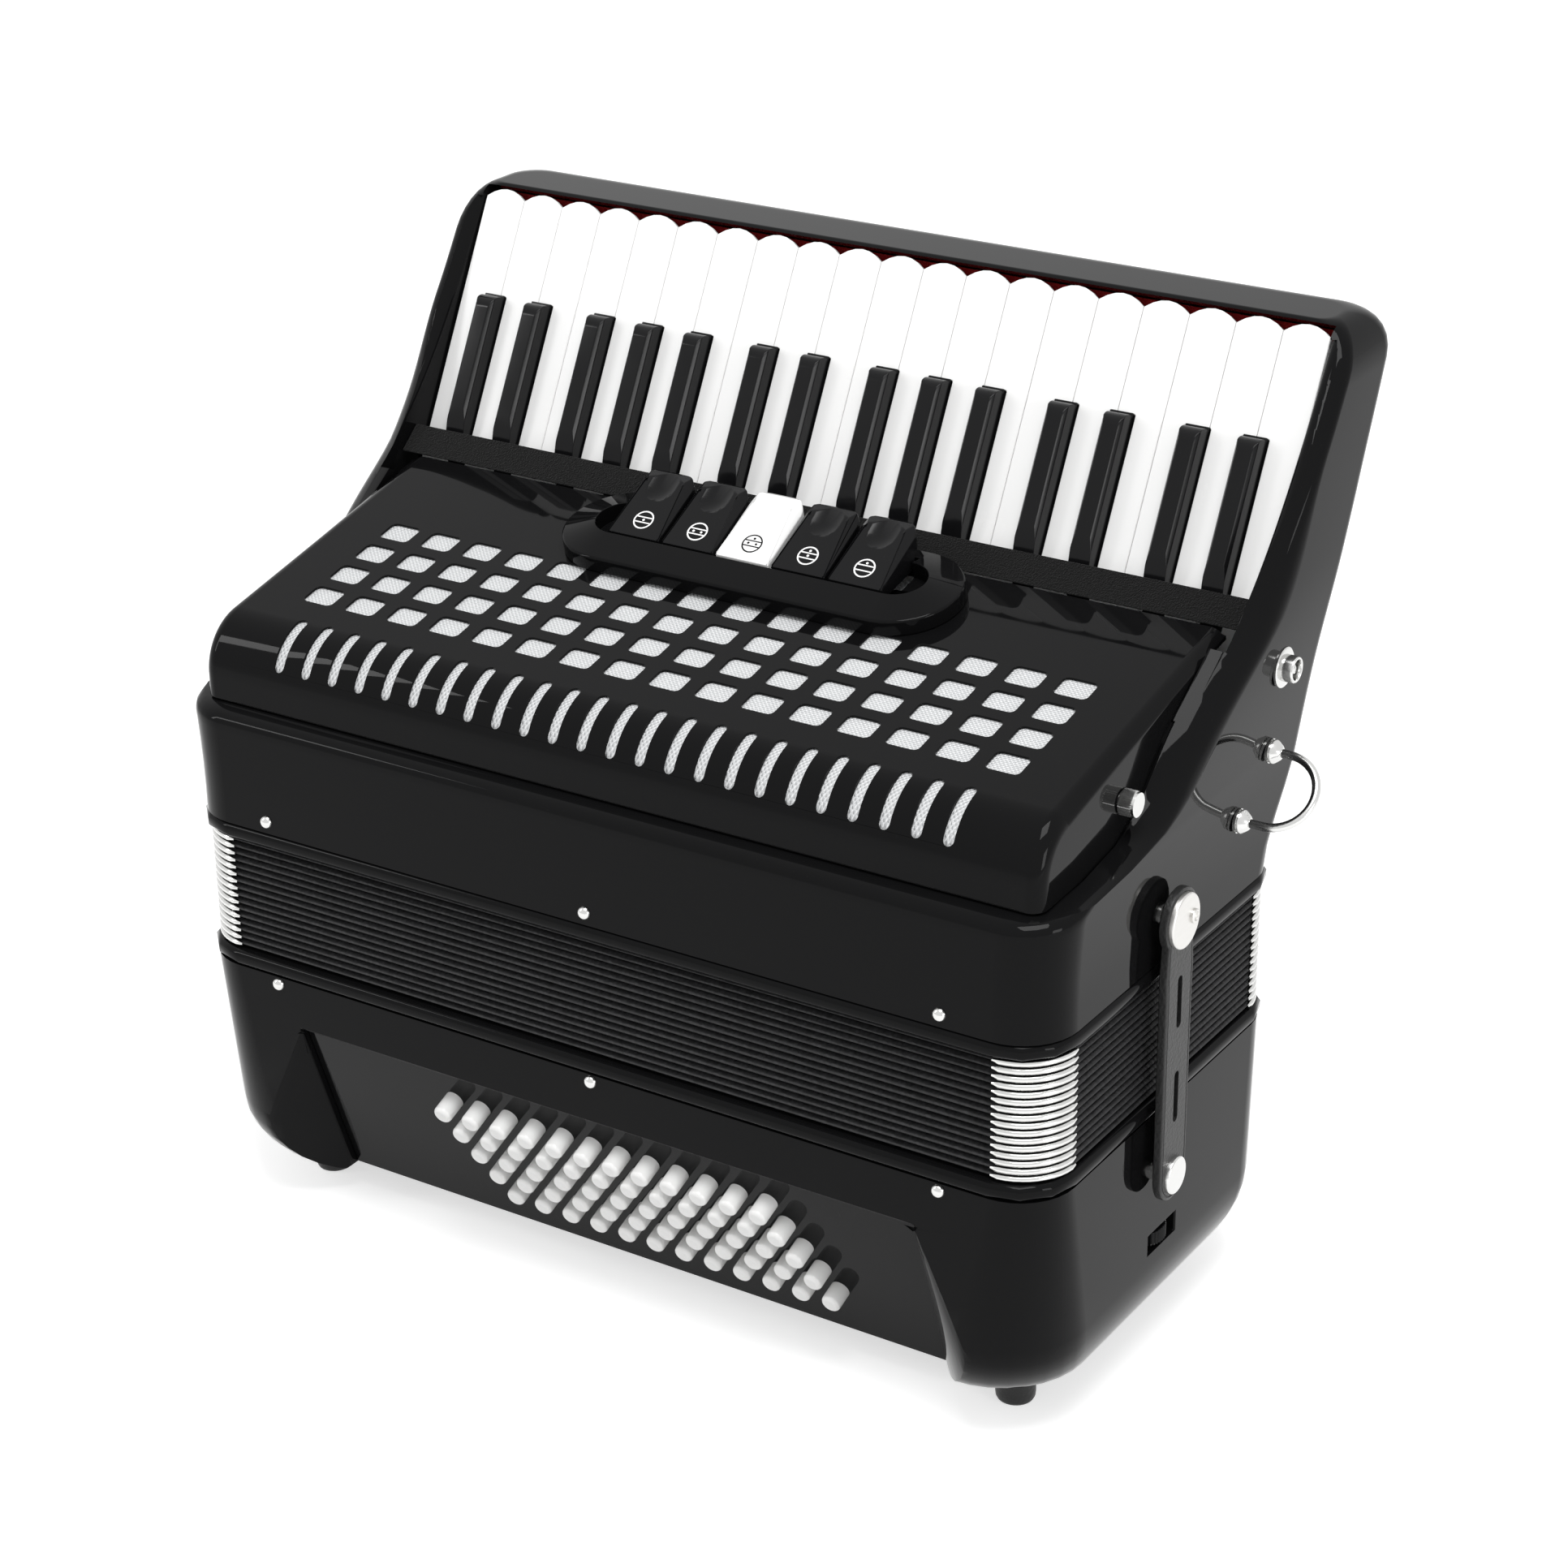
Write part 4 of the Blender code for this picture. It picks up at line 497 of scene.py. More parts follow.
def bellows_cloth():
    """Black cloth whose short dashes run along each fold."""
    finish, tree, shader = new_finish("black_bellows_cloth", (0.011, 0.011, 0.012), 0.5,
                                      Specular_IOR_Level=0.35)
    place = tree.nodes.new("ShaderNodeTexCoord")
    aim = tree.nodes.new("ShaderNodeMapping")
    aim.inputs["Scale"].default_value = (1, 1, 0.35)
    tree.links.new(place.outputs["Object"], aim.inputs["Vector"])
    dashes = tree.nodes.new("ShaderNodeTexVoronoi")
    dashes.inputs["Scale"].default_value = 520
    dashes.inputs["Randomness"].default_value = 0.45
    tree.links.new(aim.outputs["Vector"], dashes.inputs["Vector"])
    tree.links.new(blend_colours(tree, dashes.outputs["Distance"], (0.030, 0.030, 0.032),
                                 (0.004, 0.004, 0.004)), shader.inputs["Base Color"])
    bump(tree, shader, dashes.outputs["Distance"], 0.5, 0.0005)
    return finish


LEATHER = leather("black_strap_leather", (0.010, 0.010, 0.010))
RED_FELT = felt("red_rail_felt", (0.34, 0.004, 0.006), (0.52, 0.02, 0.02))
BLACK_FELT = felt("black_root_felt", (0.003, 0.003, 0.003), (0.008, 0.008, 0.008))
RUBBER = leather("black_foot_rubber", (0.009, 0.009, 0.009))
GRILLE_CLOTH = grille_cloth()
BELLOWS_CLOTH = bellows_cloth()

# %% Wood


def spruce():
    """Pale wood with stretched growth rings."""
    finish, tree, shader = new_finish("spruce_wood", (0.56, 0.38, 0.2), 0.6)
    place = tree.nodes.new("ShaderNodeTexCoord")
    aim = tree.nodes.new("ShaderNodeMapping")
    aim.inputs["Scale"].default_value = (4, 60, 60)
    tree.links.new(place.outputs["Object"], aim.inputs["Vector"])
    rings = tree.nodes.new("ShaderNodeTexNoise")
    rings.inputs["Scale"].default_value = 6
    rings.inputs["Detail"].default_value = 6
    tree.links.new(aim.outputs["Vector"], rings.inputs["Vector"])
    tree.links.new(blend_colours(tree, rings.outputs["Fac"], (0.64, 0.46, 0.27), (0.38, 0.23, 0.11)),
                   shader.inputs["Base Color"])
    bump(tree, shader, rings.outputs["Fac"], 0.3, 0.0005)
    return finish


SPRUCE = spruce()
print("finishes:", len(bpy.data.materials))

# %% Give a piece its finish


def dress(piece, finish):
    """Gives a piece its finish."""
    piece.data.materials.clear()
    piece.data.materials.append(finish)
    return piece


# %% [markdown]
# ## Pieces that keep their solid shape
#
# Where the solid already has the right shape, it only needs its finish.

# %% Dress the solids
KEPT = {"key_axle": CHROME, "treble_reed_block": SPRUCE, "bass_reed_block": SPRUCE}
for node, finish in KEPT.items():
    dress(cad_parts[node], finish)
print("solids kept:", len(KEPT))

# %% [markdown]
# ## Copies of solids with soft edges
#
# Some pieces have the right form and only lack the small radius that a mould or a polishing wheel leaves.
# The solid is copied, its loose triangles are welded, flat areas are dissolved into single faces, and a
# bevel rounds what is left.

# %% Soft copies


def welded_copy(node):
    twin = copy_of(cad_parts[node], node + "_shape")
    edit_all(twin)
    bpy.ops.mesh.remove_doubles(threshold=0.00002)
    bpy.ops.mesh.dissolve_limited(angle_limit=math.radians(1.5))
    close_edit()
    return twin


def stand_for(node, finish, body, width, segments=2, degrees=30):
    piece = welded_copy(node)
    round_edges(piece, width, segments, degrees)
    dress(smooth(piece, 40), finish)
    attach(piece, body)
    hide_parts(node)
    print(node, "faces:", len(piece.data.polygons))


for node in ("treble_bellows_frame", "bass_bellows_frame"):
    body = node.split("_")[0] + "_body"
    stand_for(node, CELLULOID, body, 0.0010, 3, 40)
stand_for("bass_strap", LEATHER, "bass_body", 0.0006)
stand_for("key_felt", BLACK_FELT, "treble_body", 0.0003)
stand_for("rail_felt", RED_FELT, "treble_body", 0.0003)

# %% [markdown]
# ## White keys
#
# A white key is a flat bar whose front edge is an arc and whose tail is narrowed beside the black keys. The
# solid's key is a little narrow, because it has to clear its neighbours. The copy is widened until only a
# hair's breadth is left between two keys.

# %% White keys
KEY_PITCH = 0.0186
WHITE_KEYS = 20
KEY_WIDER = 1.021
for number in range(1, WHITE_KEYS + 1):
    key = welded_copy(f"white_key_{number:02d}")
    middle = (number - (WHITE_KEYS + 1) / 2) * KEY_PITCH
    for vertex in key.data.vertices:
        vertex.co.x = middle + (vertex.co.x - middle) * KEY_WIDER
    round_edges(key, 0.00045, 3, 30)
    smooth(key, 40)
    dress(key, IVORY)
    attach(key, f"white_key_{number:02d}")
    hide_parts(f"white_key_{number:02d}")
print("white keys:", number)

# %% [markdown]
# ## Black keys
#
# A black key is a bar with sloping sides, a rounded nose, a bend down at the root and a small ledge in
# front. Its side view is extruded, and a second prism along its length leaves only the sloping section.
# Each key stands on the line between two white keys, moved a little to the side as on every keyboard.

# %% Black keys
BLACK_LINES = ((1, -0.0022), (2, 0.0022), (4, -0.0044), (5, 0.0), (6, 0.0044), (8, -0.0022), (9, 0.0022),
               (11, -0.0044), (12, 0.0), (13, 0.0044), (15, -0.0022), (16, 0.0022), (18, -0.0044), (19, 0.0))
KEY_TOP = 0.0055
KEY_UNDER = -0.0045
BLACK_TIP = 0.0720
BLACK_BEND = 0.0250
BLACK_ROOT = 0.0150
BLACK_CREST = 0.0131
NOSE_FOOT = 0.0022
NOSE_REACH = 0.0058
NOSE_RISE = 0.0054
AXLE_SLOT = 0.0018


def black_profile():
    """The key from the side: slot for the axle, front edge, rounded nose, long top and bend at the root."""
    line = [(-0.0050, KEY_UNDER), (-AXLE_SLOT, KEY_UNDER), (-AXLE_SLOT, 0.0017), (AXLE_SLOT, 0.0017),
            (AXLE_SLOT, KEY_UNDER), (BLACK_TIP, KEY_UNDER), (BLACK_TIP, KEY_TOP + NOSE_FOOT)]
    for degrees in (12, 24, 36, 48, 60, 72, 84, 90):
        angle = math.radians(degrees)
        line.append((BLACK_TIP - NOSE_REACH * (1 - math.cos(angle)),
                     KEY_TOP + NOSE_FOOT + NOSE_RISE * math.sin(angle)))
    return line + [(BLACK_BEND, BLACK_CREST), (BLACK_ROOT, KEY_TOP + 0.0048),
                   (BLACK_ROOT - 0.0015, KEY_TOP - 0.002), (-0.0050, KEY_TOP - 0.002)]


def black_key():
    """One black key in the key frame, centred on x = 0."""
    key = prism("black_key", black_profile(), -0.0060, 0.0060)
    section = [(-0.0046, -0.0050), (0.0046, -0.0050), (0.0046, KEY_TOP), (0.0043, BLACK_CREST - 0.0016),
               (0.0030, BLACK_CREST + 0.0001), (-0.0030, BLACK_CREST + 0.0001),
               (-0.0043, BLACK_CREST - 0.0016), (-0.0046, KEY_TOP)]
    cut(key, prism("section", section, -0.02, 0.09, "Y"), "INTERSECT")
    round_edges(key, 0.0003, 2, 25)
    ledge = box("ledge", (-0.0047, BLACK_TIP - 0.0010, KEY_UNDER),
                (0.0047, BLACK_TIP + 0.0010, KEY_TOP + 0.0010))
    round_edges(ledge, 0.0003, 2, 40)
    return join("black_key", [key, ledge])


first_black = black_key()
for number, (line, shift) in enumerate(BLACK_LINES, 1):
    key = copy_of(first_black, f"black_key_{number:02d}_shape")
    key.location.x = (line - WHITE_KEYS / 2) * KEY_PITCH + shift
    seat(key, KEY_FRAME)
    smooth(key, 32)
    dress(key, EBONY)
    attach(key, f"black_key_{number:02d}")
    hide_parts(f"black_key_{number:02d}")
bpy.data.objects.remove(first_black, do_unlink=True)
print("black keys:", number)

# %% [markdown]
# ## The casings
#
# Both casings are smooth tubs. A mirror polish shows every facet, so each is laid up again from many more
# rows than the solid has, and then cut with the same recesses. The treble casing's rows follow two lines seen
# from the end, the rim in front and the back. Each line is a list of pairs: y, and the height above the
# casing's foot.

# %% Lines of the treble casing
BODY_CORNER = 0.022
CHEEK_SPREAD = 0.008
TREBLE_HEIGHT = 0.1981
TOP_RADIUS = 0.018
RIM_LINE = (
    (-0.0910, 0.0405), (-0.0906, 0.0420), (-0.0896, 0.0434), (-0.0875, 0.0445), (-0.0845, 0.0458),
    (-0.0600, 0.0478), (-0.0380, 0.0510), (-0.0200, 0.0590), (-0.0090, 0.0685), (0.0020, 0.0785),
    (0.0135, 0.0870), (0.0340, 0.1005), (0.0440, 0.1080), (0.0660, 0.1300), (0.0880, 0.1580),
    (0.1050, 0.1840), (0.1135, 0.1990))
BACK_LINE = ((0.0905, 0.0040), (0.1000, 0.0360), (0.1085, 0.0860), (0.1310, 0.1380), (0.1490, 0.1780),
             (0.1570, 0.1990))
GRILLE_SEAT = ((-0.0950, 0.0459), (-0.0500, 0.0476), (-0.0300, 0.0510), (-0.0160, 0.0610),
               (-0.0020, 0.0745), (0.0160, 0.0870), (0.0380, 0.0962), (0.0515, 0.0985))


def straight_at(line, height):
    """The y of a line of (y, height) points, joined by straight pieces."""
    if height <= line[0][1]:
        return line[0][0]
    for (y0, h0), (y1, h1) in zip(line, line[1:]):
        if height <= h1:
            return y0 + (y1 - y0) * (height - h0) / (h1 - h0)
    return line[-1][0]


def curved_at(line, height):
    """The same points joined by a curve that bends evenly through them."""
    if height <= line[0][1] or height >= line[-1][1]:
        return straight_at(line, height)
    index = max(i for i in range(len(line) - 1) if line[i][1] <= height)

    def slope(i):
        low, high = max(i - 1, 0), min(i + 1, len(line) - 1)
        return (line[high][0] - line[low][0]) / (line[high][1] - line[low][1])

    (y0, h0), (y1, h1) = line[index], line[index + 1]
    run = h1 - h0
    t = (height - h0) / run
    return ((2 * t ** 3 - 3 * t ** 2 + 1) * y0 + (t ** 3 - 2 * t ** 2 + t) * run * slope(index)
            + (3 * t ** 2 - 2 * t ** 3) * y1 + (t ** 3 - t ** 2) * run * slope(index + 1))


def eased(value):
    held = min(max(value, 0.0), 1.0)
    return held * held * (3 - 2 * held)


def end_half(height):
    """Half the length of the treble casing, which flares from the bellows up to the cheeks."""
    return HALF_LENGTH + CHEEK_SPREAD * eased((height - 0.008) / 0.110)


# %% Rows of the treble casing
CORNER_STEPS = 8
CROWN_SHORTER = 0.75
CROWN_LEAN = 0.25
EDGE_CORNER = 0.006
BACK_CORNER = 0.012


def crown_pull(height):
    """How far the rounded top of the casing has drawn in at a height."""
    rise = max(height - TREBLE_HEIGHT + TOP_RADIUS, 0.0) / TOP_RADIUS
    return TOP_RADIUS * (1 - math.sqrt(max(1 - rise * rise, 0.0)))


def row_heights():
    """Close rows where the casing curves most: at the rim's first bend and over the rounded top."""
    top_start = TREBLE_HEIGHT - TOP_RADIUS
    low = [0.0, 0.010, 0.020, 0.030, 0.038] + [height for _, height in RIM_LINE[:6]]
    low += [RIM_LINE[5][1] + 0.0042 * step for step in range(1, 32)]
    crown = (0, 12, 24, 36, 48, 60, 70, 80, 90)
    return sorted([h for h in low if h < top_start - 0.001]
                  + [top_start + TOP_RADIUS * math.sin(math.radians(degrees)) for degrees in crown])


def treble_rows():
    rows = []
    for height in row_heights():
        pull = crown_pull(height)
        front = -HALF_DEPTH if height < RIM_LINE[0][1] else curved_at(RIM_LINE, height) + CROWN_LEAN * pull
        back = curved_at(BACK_LINE, height) - pull
        half = end_half(height) - CROWN_SHORTER * pull
        front_corner = BODY_CORNER + (EDGE_CORNER - BODY_CORNER) * eased((height - 0.100) / 0.058)
        back_corner = BODY_CORNER + (BACK_CORNER - BODY_CORNER) * eased(height / 0.0425)
        outline = rounded_outline(half, front, back, front_corner, back_corner, CORNER_STEPS)
        rows.append([(x, y + STAND_SHIFT, TREBLE_BASE + height) for x, y in outline])
    return rows


# %% Recesses of the treble casing
SEAT_HALF = 0.1810
TROUGH_HALF = 0.1867
KEY_TRACK = 0.112
KEY_BED = 0.0155
RAIL_GAP = 0.0046
ABOVE = 0.30


def treble_casing():
    """The shell with the seat of the grille cover, the trough of the keys and the hollow behind them."""
    casing = rows_to_shell("treble_shell", treble_rows())
    seat_line = [(y + STAND_SHIFT, TREBLE_BASE + height) for y, height in GRILLE_SEAT]
    above = seat_line + [(seat_line[-1][0], ABOVE), (seat_line[0][0], ABOVE)]
    cut(casing, prism("seat", above, -SEAT_HALF, SEAT_HALF))
    cut(casing, box("trough", (-TROUGH_HALF, -0.006, KEY_TOP - KEY_BED),
                    (TROUGH_HALF, KEY_TRACK + RAIL_GAP, 0.06), KEY_FRAME))
    inside = [(-0.1085, 0.150), (0.057, 0.150), (0.057, 0.172), (0.063, 0.205), (0.066, 0.236),
              (0.046, 0.246), (0.030, 0.256), (-0.010, 0.2555), (-0.030, 0.243), (-0.044, 0.2295),
              (-0.058, 0.2195), (-0.078, 0.2160), (-0.1085, 0.2150)]
    cut(casing, prism("hollow", inside, -0.1785, 0.1785))
    return casing


# %% [markdown]
# ## Cheeks with a soft inner edge
#
# The inner edge of each cheek is worn to a narrow facet that runs into a round. The edge follows the curved
# rim, and a bevel tears where such an edge ends in another cut. So the round is in the cutter: one profile
# is swept along the rim line and taken off.

# %% Edge of the cheeks
EDGE_FACET = 0.0016
EDGE_RADIUS = 0.0036
FACET_DEGREES = 14
FACET_FALL = 0.24
EDGE_OVERCUT = 0.001


def edge_profile():
    """What is taken off, in plan: x runs into the cheek from its inner wall, y runs in from the rim."""
    first = math.radians(FACET_DEGREES)
    outside = EDGE_RADIUS + EDGE_FACET + EDGE_OVERCUT
    curve = [(outside, -0.0012), (outside, -EDGE_OVERCUT * FACET_FALL)]
    for step in range(9):
        angle = first + (math.pi / 2 - first) * step / 8
        share = (math.sin(angle) - math.sin(first)) / (1 - math.sin(first))
        drop = EDGE_RADIUS * (1 - math.cos(angle) / math.cos(first))
        curve.append((EDGE_RADIUS * (1 - share), EDGE_FACET * FACET_FALL + drop))
    return curve + [(-EDGE_OVERCUT, curve[-1][1]), (-EDGE_OVERCUT, -0.0012)]


def cheek_edge(side, half, low, high):
    """The cutter for the cheek whose inner wall stands at half, between two heights."""
    rows = []
    for step in range(25):
        height = low + (high - low) * step / 24
        front = curved_at(RIM_LINE, height) + CROWN_LEAN * crown_pull(height)
        rows.append([(side * (half + x), front + y + STAND_SHIFT, TREBLE_BASE + height)
                     for x, y in edge_profile()])
    return rows_to_shell("edge", rows)


casing = treble_casing()
tidy_normals(casing, 0.00003)
for side in (-1, 1):
    cut(casing, cheek_edge(side, TROUGH_HALF, 0.0840, 0.1930))
    cut(casing, cheek_edge(side, SEAT_HALF, 0.0560, 0.0830))
smooth(casing, 32)
dress(casing, CELLULOID)
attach(casing, "treble_body")
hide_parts("treble_casing")
print("treble casing faces:", len(casing.data.polygons))

# %% [markdown]
# ## Grille cover
#
# The cover is a thin bent shell: a face, a rounded nose and a front wall. Rows run along its length and draw
# in at both ends. The same rows a wall's thickness smaller are cut out of it, then the windows, the slots
# and the opening for the switches.

# %% Rows of the grille cover
GRILLE_HALF = 0.1804
GRILLE_REAR_Y = 0.0505
GRILLE_REAR_Z = TREBLE_BASE + 0.1025
GRILLE_FRONT_Y = -0.083
GRILLE_NOSE = 0.023
GRILLE_WALL = 0.0009
GRILLE_EDGE = 0.006
NOSE_STEPS = 24


def grille_outline(inset, rear_inset, rear_y):
    """The cover's line from the front wall over the nose to the rear edge."""
    slope = math.radians(GRILLE_SLOPE)
    normal = (-math.sin(slope), math.cos(slope))
    reach = normal[0] * GRILLE_REAR_Y + normal[1] * GRILLE_REAR_Z
    centre_y = GRILLE_FRONT_Y + GRILLE_NOSE
    centre_z = (reach - GRILLE_NOSE - normal[0] * centre_y) / normal[1]
    radius = GRILLE_NOSE - inset
    points = []
    for step in range(NOSE_STEPS + 1):
        angle = math.pi - (math.pi / 2 - slope) * step / NOSE_STEPS
        points.append((centre_y + radius * math.cos(angle), centre_z + radius * math.sin(angle)))
    points.append((rear_y, (reach - rear_inset - normal[0] * rear_y) / normal[1]))
    return points


def seat_z(y):
    return TREBLE_BASE + straight_at([(height, at) for at, height in GRILLE_SEAT], y)


def grille_rows(wall):
    """Rows along the cover's length, with both ends rounded over."""
    rows = []
    drop = GRILLE_WALL if wall else 0.0
    rear_y = GRILLE_REAR_Y + wall
    for side in (-1, 1):
        end = []
        for angle in (0, 15, 30, 45, 60, 75, 90):
            round_in = GRILLE_EDGE * (1 - math.sin(math.radians(angle)))
            x = side * (GRILLE_HALF - wall - GRILLE_EDGE * (1 - math.cos(math.radians(angle))))
            top = grille_outline(wall + round_in, wall + min(round_in, 0.002), rear_y)
            under = [rear_y] + [y for y, _ in reversed(GRILLE_SEAT[1:-1])]
            under.append(GRILLE_FRONT_Y + wall + round_in)
            ring = top + [(y, seat_z(y) + GAP - drop) for y in under]
            end.append([(x, y + STAND_SHIFT, z) for y, z in ring])
        rows += end if side < 0 else list(reversed(end))
    return rows


# %% Windows and slots
WINDOW_ROWS = 4
WINDOW_COLUMNS = 16
SLOTS = 24
OPENING_HALF = 0.06075
OPENING_REAR = -0.0080
SWITCH_FRONT = -0.0348


def rounded_rectangle(centre_x, centre_y, length, width, corner, steps=4):
    outline = rounded_outline(length / 2, -width / 2, width / 2, corner, corner, steps)
    return [(centre_x + x, centre_y + y) for x, y in outline]


def windows():
    """Rows of rectangular windows with small round corners."""
    every = []
    for row in range(WINDOW_ROWS):
        for column in range(WINDOW_COLUMNS):
            x = (column - (WINDOW_COLUMNS - 1) / 2) * 0.01973
            outline = rounded_rectangle(x, -0.0521 - row * 0.01607, 0.0133, 0.0104, 0.0022)
            every.append(prism("window", outline, -0.006, 0.004, "Z"))
    return seat(join("windows", every), GRILLE_FRAME)


def nose_slots():
    """A row of slots with round ends across the nose."""
    every = []
    for index in range(SLOTS):
        x = (index - (SLOTS - 1) / 2) * 0.01252
        outline = rounded_rectangle(x, 0, 0.0043, 0.0228, 0.00214, 6)
        every.append(prism("slot", outline, -0.006, 0.010, "Z"))
    return seat(join("slots", every), NOSE_FRAME)


# %% Cover and cloth


def grille_cover():
    cover = rows_to_shell("grille_shell", grille_rows(0.0))
    cut(cover, rows_to_shell("inside", grille_rows(GRILLE_WALL)))
    cut(cover, windows())
    cut(cover, nose_slots())
    cut(cover, box("opening", (-OPENING_HALF, SWITCH_FRONT, -0.006), (OPENING_HALF, OPENING_REAR, 0.004),
                   GRILLE_FRAME))
    tidy_normals(cover, 0.00002)
    round_edges(cover, 0.0003, 2, 55)
    return smooth(cover, 30)


def cloth_sheet():
    """Silver cloth stretched close behind the windows and slots."""
    near = grille_outline(GRILLE_WALL + 0.0002, GRILLE_WALL + 0.0002, 0.040)
    far = grille_outline(GRILLE_WALL + 0.0007, GRILLE_WALL + 0.0007, 0.040)
    ring = near + list(reversed(far))
    rows = [[(x, y + STAND_SHIFT, z) for y, z in ring] for x in (-0.170, 0.170)]
    return smooth(rows_to_shell("grille_cloth_sheet", rows), 30)


cloth = dress(cloth_sheet(), GRILLE_CLOTH)
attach(cloth, "treble_body")
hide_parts("grille_cloth")
cover = dress(grille_cover(), CELLULOID)
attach(cover, "treble_body")
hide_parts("grille_cover")
print("grille cover faces:", len(cover.data.polygons))

# %% [markdown]
# ## Bass casing
#
# The bass casing is a tub with its floor below. In front the button board slopes inwards towards the floor,
# so a wedge is cut out for it, and the blocks on both sides of that recess are swept back towards their foot.

# %% Rows of the bass casing
FOOT_HEIGHT = 0.008
FLOOR_ROUND = 0.034


def bass_rows(wall=0.0):
    """The tub: three different roundings meet the floor, and the corners tighten towards the top."""
    rows = []
    for degrees in (0, 10, 20, 30, 40, 50, 60, 70, 80, 90):
        lift = 1 - math.sin(math.radians(degrees))
        z = FOOT_HEIGHT + wall + FLOOR_ROUND * (1 - math.cos(math.radians(degrees)))
        outline = rounded_outline(HALF_LENGTH - wall - 0.026 * lift, 0.040 * lift + wall - HALF_DEPTH,
                                  HALF_DEPTH - wall - 0.024 * lift, 0.034 - wall, 0.026 - wall, CORNER_STEPS)
        rows.append((outline, z))
    straight = FOOT_HEIGHT + FLOOR_ROUND
    for share in (0.25, 0.5, 0.75, 1.0):
        z = straight + (BASS_TOP - straight) * share + (0.01 * share if wall else 0)
        outline = rounded_outline(HALF_LENGTH - wall, wall - HALF_DEPTH, HALF_DEPTH - wall,
                                  0.034 - 0.012 * share - wall, 0.026 - 0.004 * share - wall, CORNER_STEPS)
        rows.append((outline, z))
    return [[(x, y + STAND_SHIFT, z) for x, y in outline] for outline, z in rows]


# %% The recess and its blends
RECESS_HALF = 0.1372
CHANNEL_FLOOR = 0.013
PANEL_TILT = math.radians(20.8)
PANEL_TOP = (STAND_SHIFT - HALF_DEPTH, 0.0855)
BOARD_STEP = 0.0028
BOARD_SEAT = 0.0028
BOARD_FOOT = -0.07755
CASING_FRONT = PANEL_TOP[0] - 0.03


def panel_point(along, out):
    """World y and z of a point on the sloping board."""
    turn = math.pi / 2 + PANEL_TILT
    return (PANEL_TOP[0] + along * math.cos(turn) - out * math.sin(turn),
            PANEL_TOP[1] + along * math.sin(turn) + out * math.cos(turn))


def board_line(inward):
    """Top and foot of the sloping board's face, moved inwards; the board starts a step behind the front."""
    top = (PANEL_TOP[0] + BOARD_STEP, PANEL_TOP[1])
    foot = panel_point(BOARD_FOOT, 0)
    return (top[0] + inward, top[1]), (foot[0] + inward, foot[1])


def recess_blend(side):
    """Sweeps the front of the block beside the recess inwards, more and more towards the floor."""
    top, foot = board_line(-BOARD_STEP)
    lean = (foot[0] - top[0]) / (top[1] - foot[1])
    rows = []
    for step in range(9):
        z = -0.004 + (PANEL_TOP[1] - 0.0012 + 0.004) * step / 8
        deep = (top[1] - z) * lean
        wide = deep * 1.5
        curve = [(-0.001, -0.001), (wide, -0.001)]
        for part in range(1, 9):
            share = part / 9
            curve.append((wide * (1 - share), deep * share ** 1.7))
        curve += [(0.0, deep), (-0.001, deep)]
        rows.append([(side * (RECESS_HALF + x), PANEL_TOP[0] + y, z) for x, y in curve])
    return rows_to_shell("blend", rows)


def cut_recess(casing):
    """The wedge for the board, the low channel under the floor and both blends."""
    top_in, foot = board_line(BOARD_SEAT)
    outline = [top_in, foot, (foot[0], 0), (CASING_FRONT, 0), (CASING_FRONT, PANEL_TOP[1])]
    cut(casing, prism("recess", outline, -RECESS_HALF, RECESS_HALF))
    edge = RECESS_HALF + 0.012
    channel = [(-RECESS_HALF, CHANNEL_FLOOR), (RECESS_HALF, CHANNEL_FLOOR), (RECESS_HALF + 0.003, 0.0105),
               (edge, FOOT_HEIGHT), (edge, -0.01), (-edge, -0.01), (-edge, FOOT_HEIGHT),
               (-RECESS_HALF - 0.003, 0.0105)]
    cut(casing, prism("channel", channel, -0.13, 0.075, "Y"))
    for side in (-1, 1):
        cut(casing, recess_blend(side))


# %% [markdown]
# ## A round on chosen edges
#
# The upright edges of the recess are rounded too. Unlike the cheeks' edges they are straight, so a bevel is
# safe: the sharp edges are selected, the selection keeps only those that lie where they should, and the
# bevel operator does the rest.

# %% Round chosen edges


def round_chosen(piece, wanted, width, segments=4, sharp=30):
    """Bevels the sharp edges whose two ends satisfy a test on their coordinates."""
    pick(piece)
    bpy.ops.object.mode_set(mode="EDIT")
    bpy.ops.mesh.select_mode(type="EDGE")
    bpy.ops.mesh.select_all(action="DESELECT")
    bpy.ops.mesh.edges_select_sharp(sharpness=math.radians(sharp))
    close_edit()
    mesh = piece.data
    chosen = 0
    for edge in mesh.edges:
        ends = [mesh.vertices[i].co for i in edge.vertices]
        edge.select = edge.select and all(wanted(co) for co in ends)
        chosen += edge.select
    bpy.ops.object.mode_set(mode="EDIT")
    bpy.ops.mesh.bevel(offset=width, segments=segments, profile=0.5, clamp_overlap=False, affect="EDGES")
    bpy.ops.mesh.select_mode(type="VERT")
    close_edit()
    print(piece.name, "edges rounded:", chosen)


def recess_edge(co):
    return abs(abs(co.x) - RECESS_HALF) < 0.0001 and 0.016 < co.z < 0.084


# %% Bass casing
BASS_WALL = 0.006
KEEP_HALF = 0.1780
INNER_FLOOR = 0.0175
AIR_X = 0.140
AIR_Z = 0.060


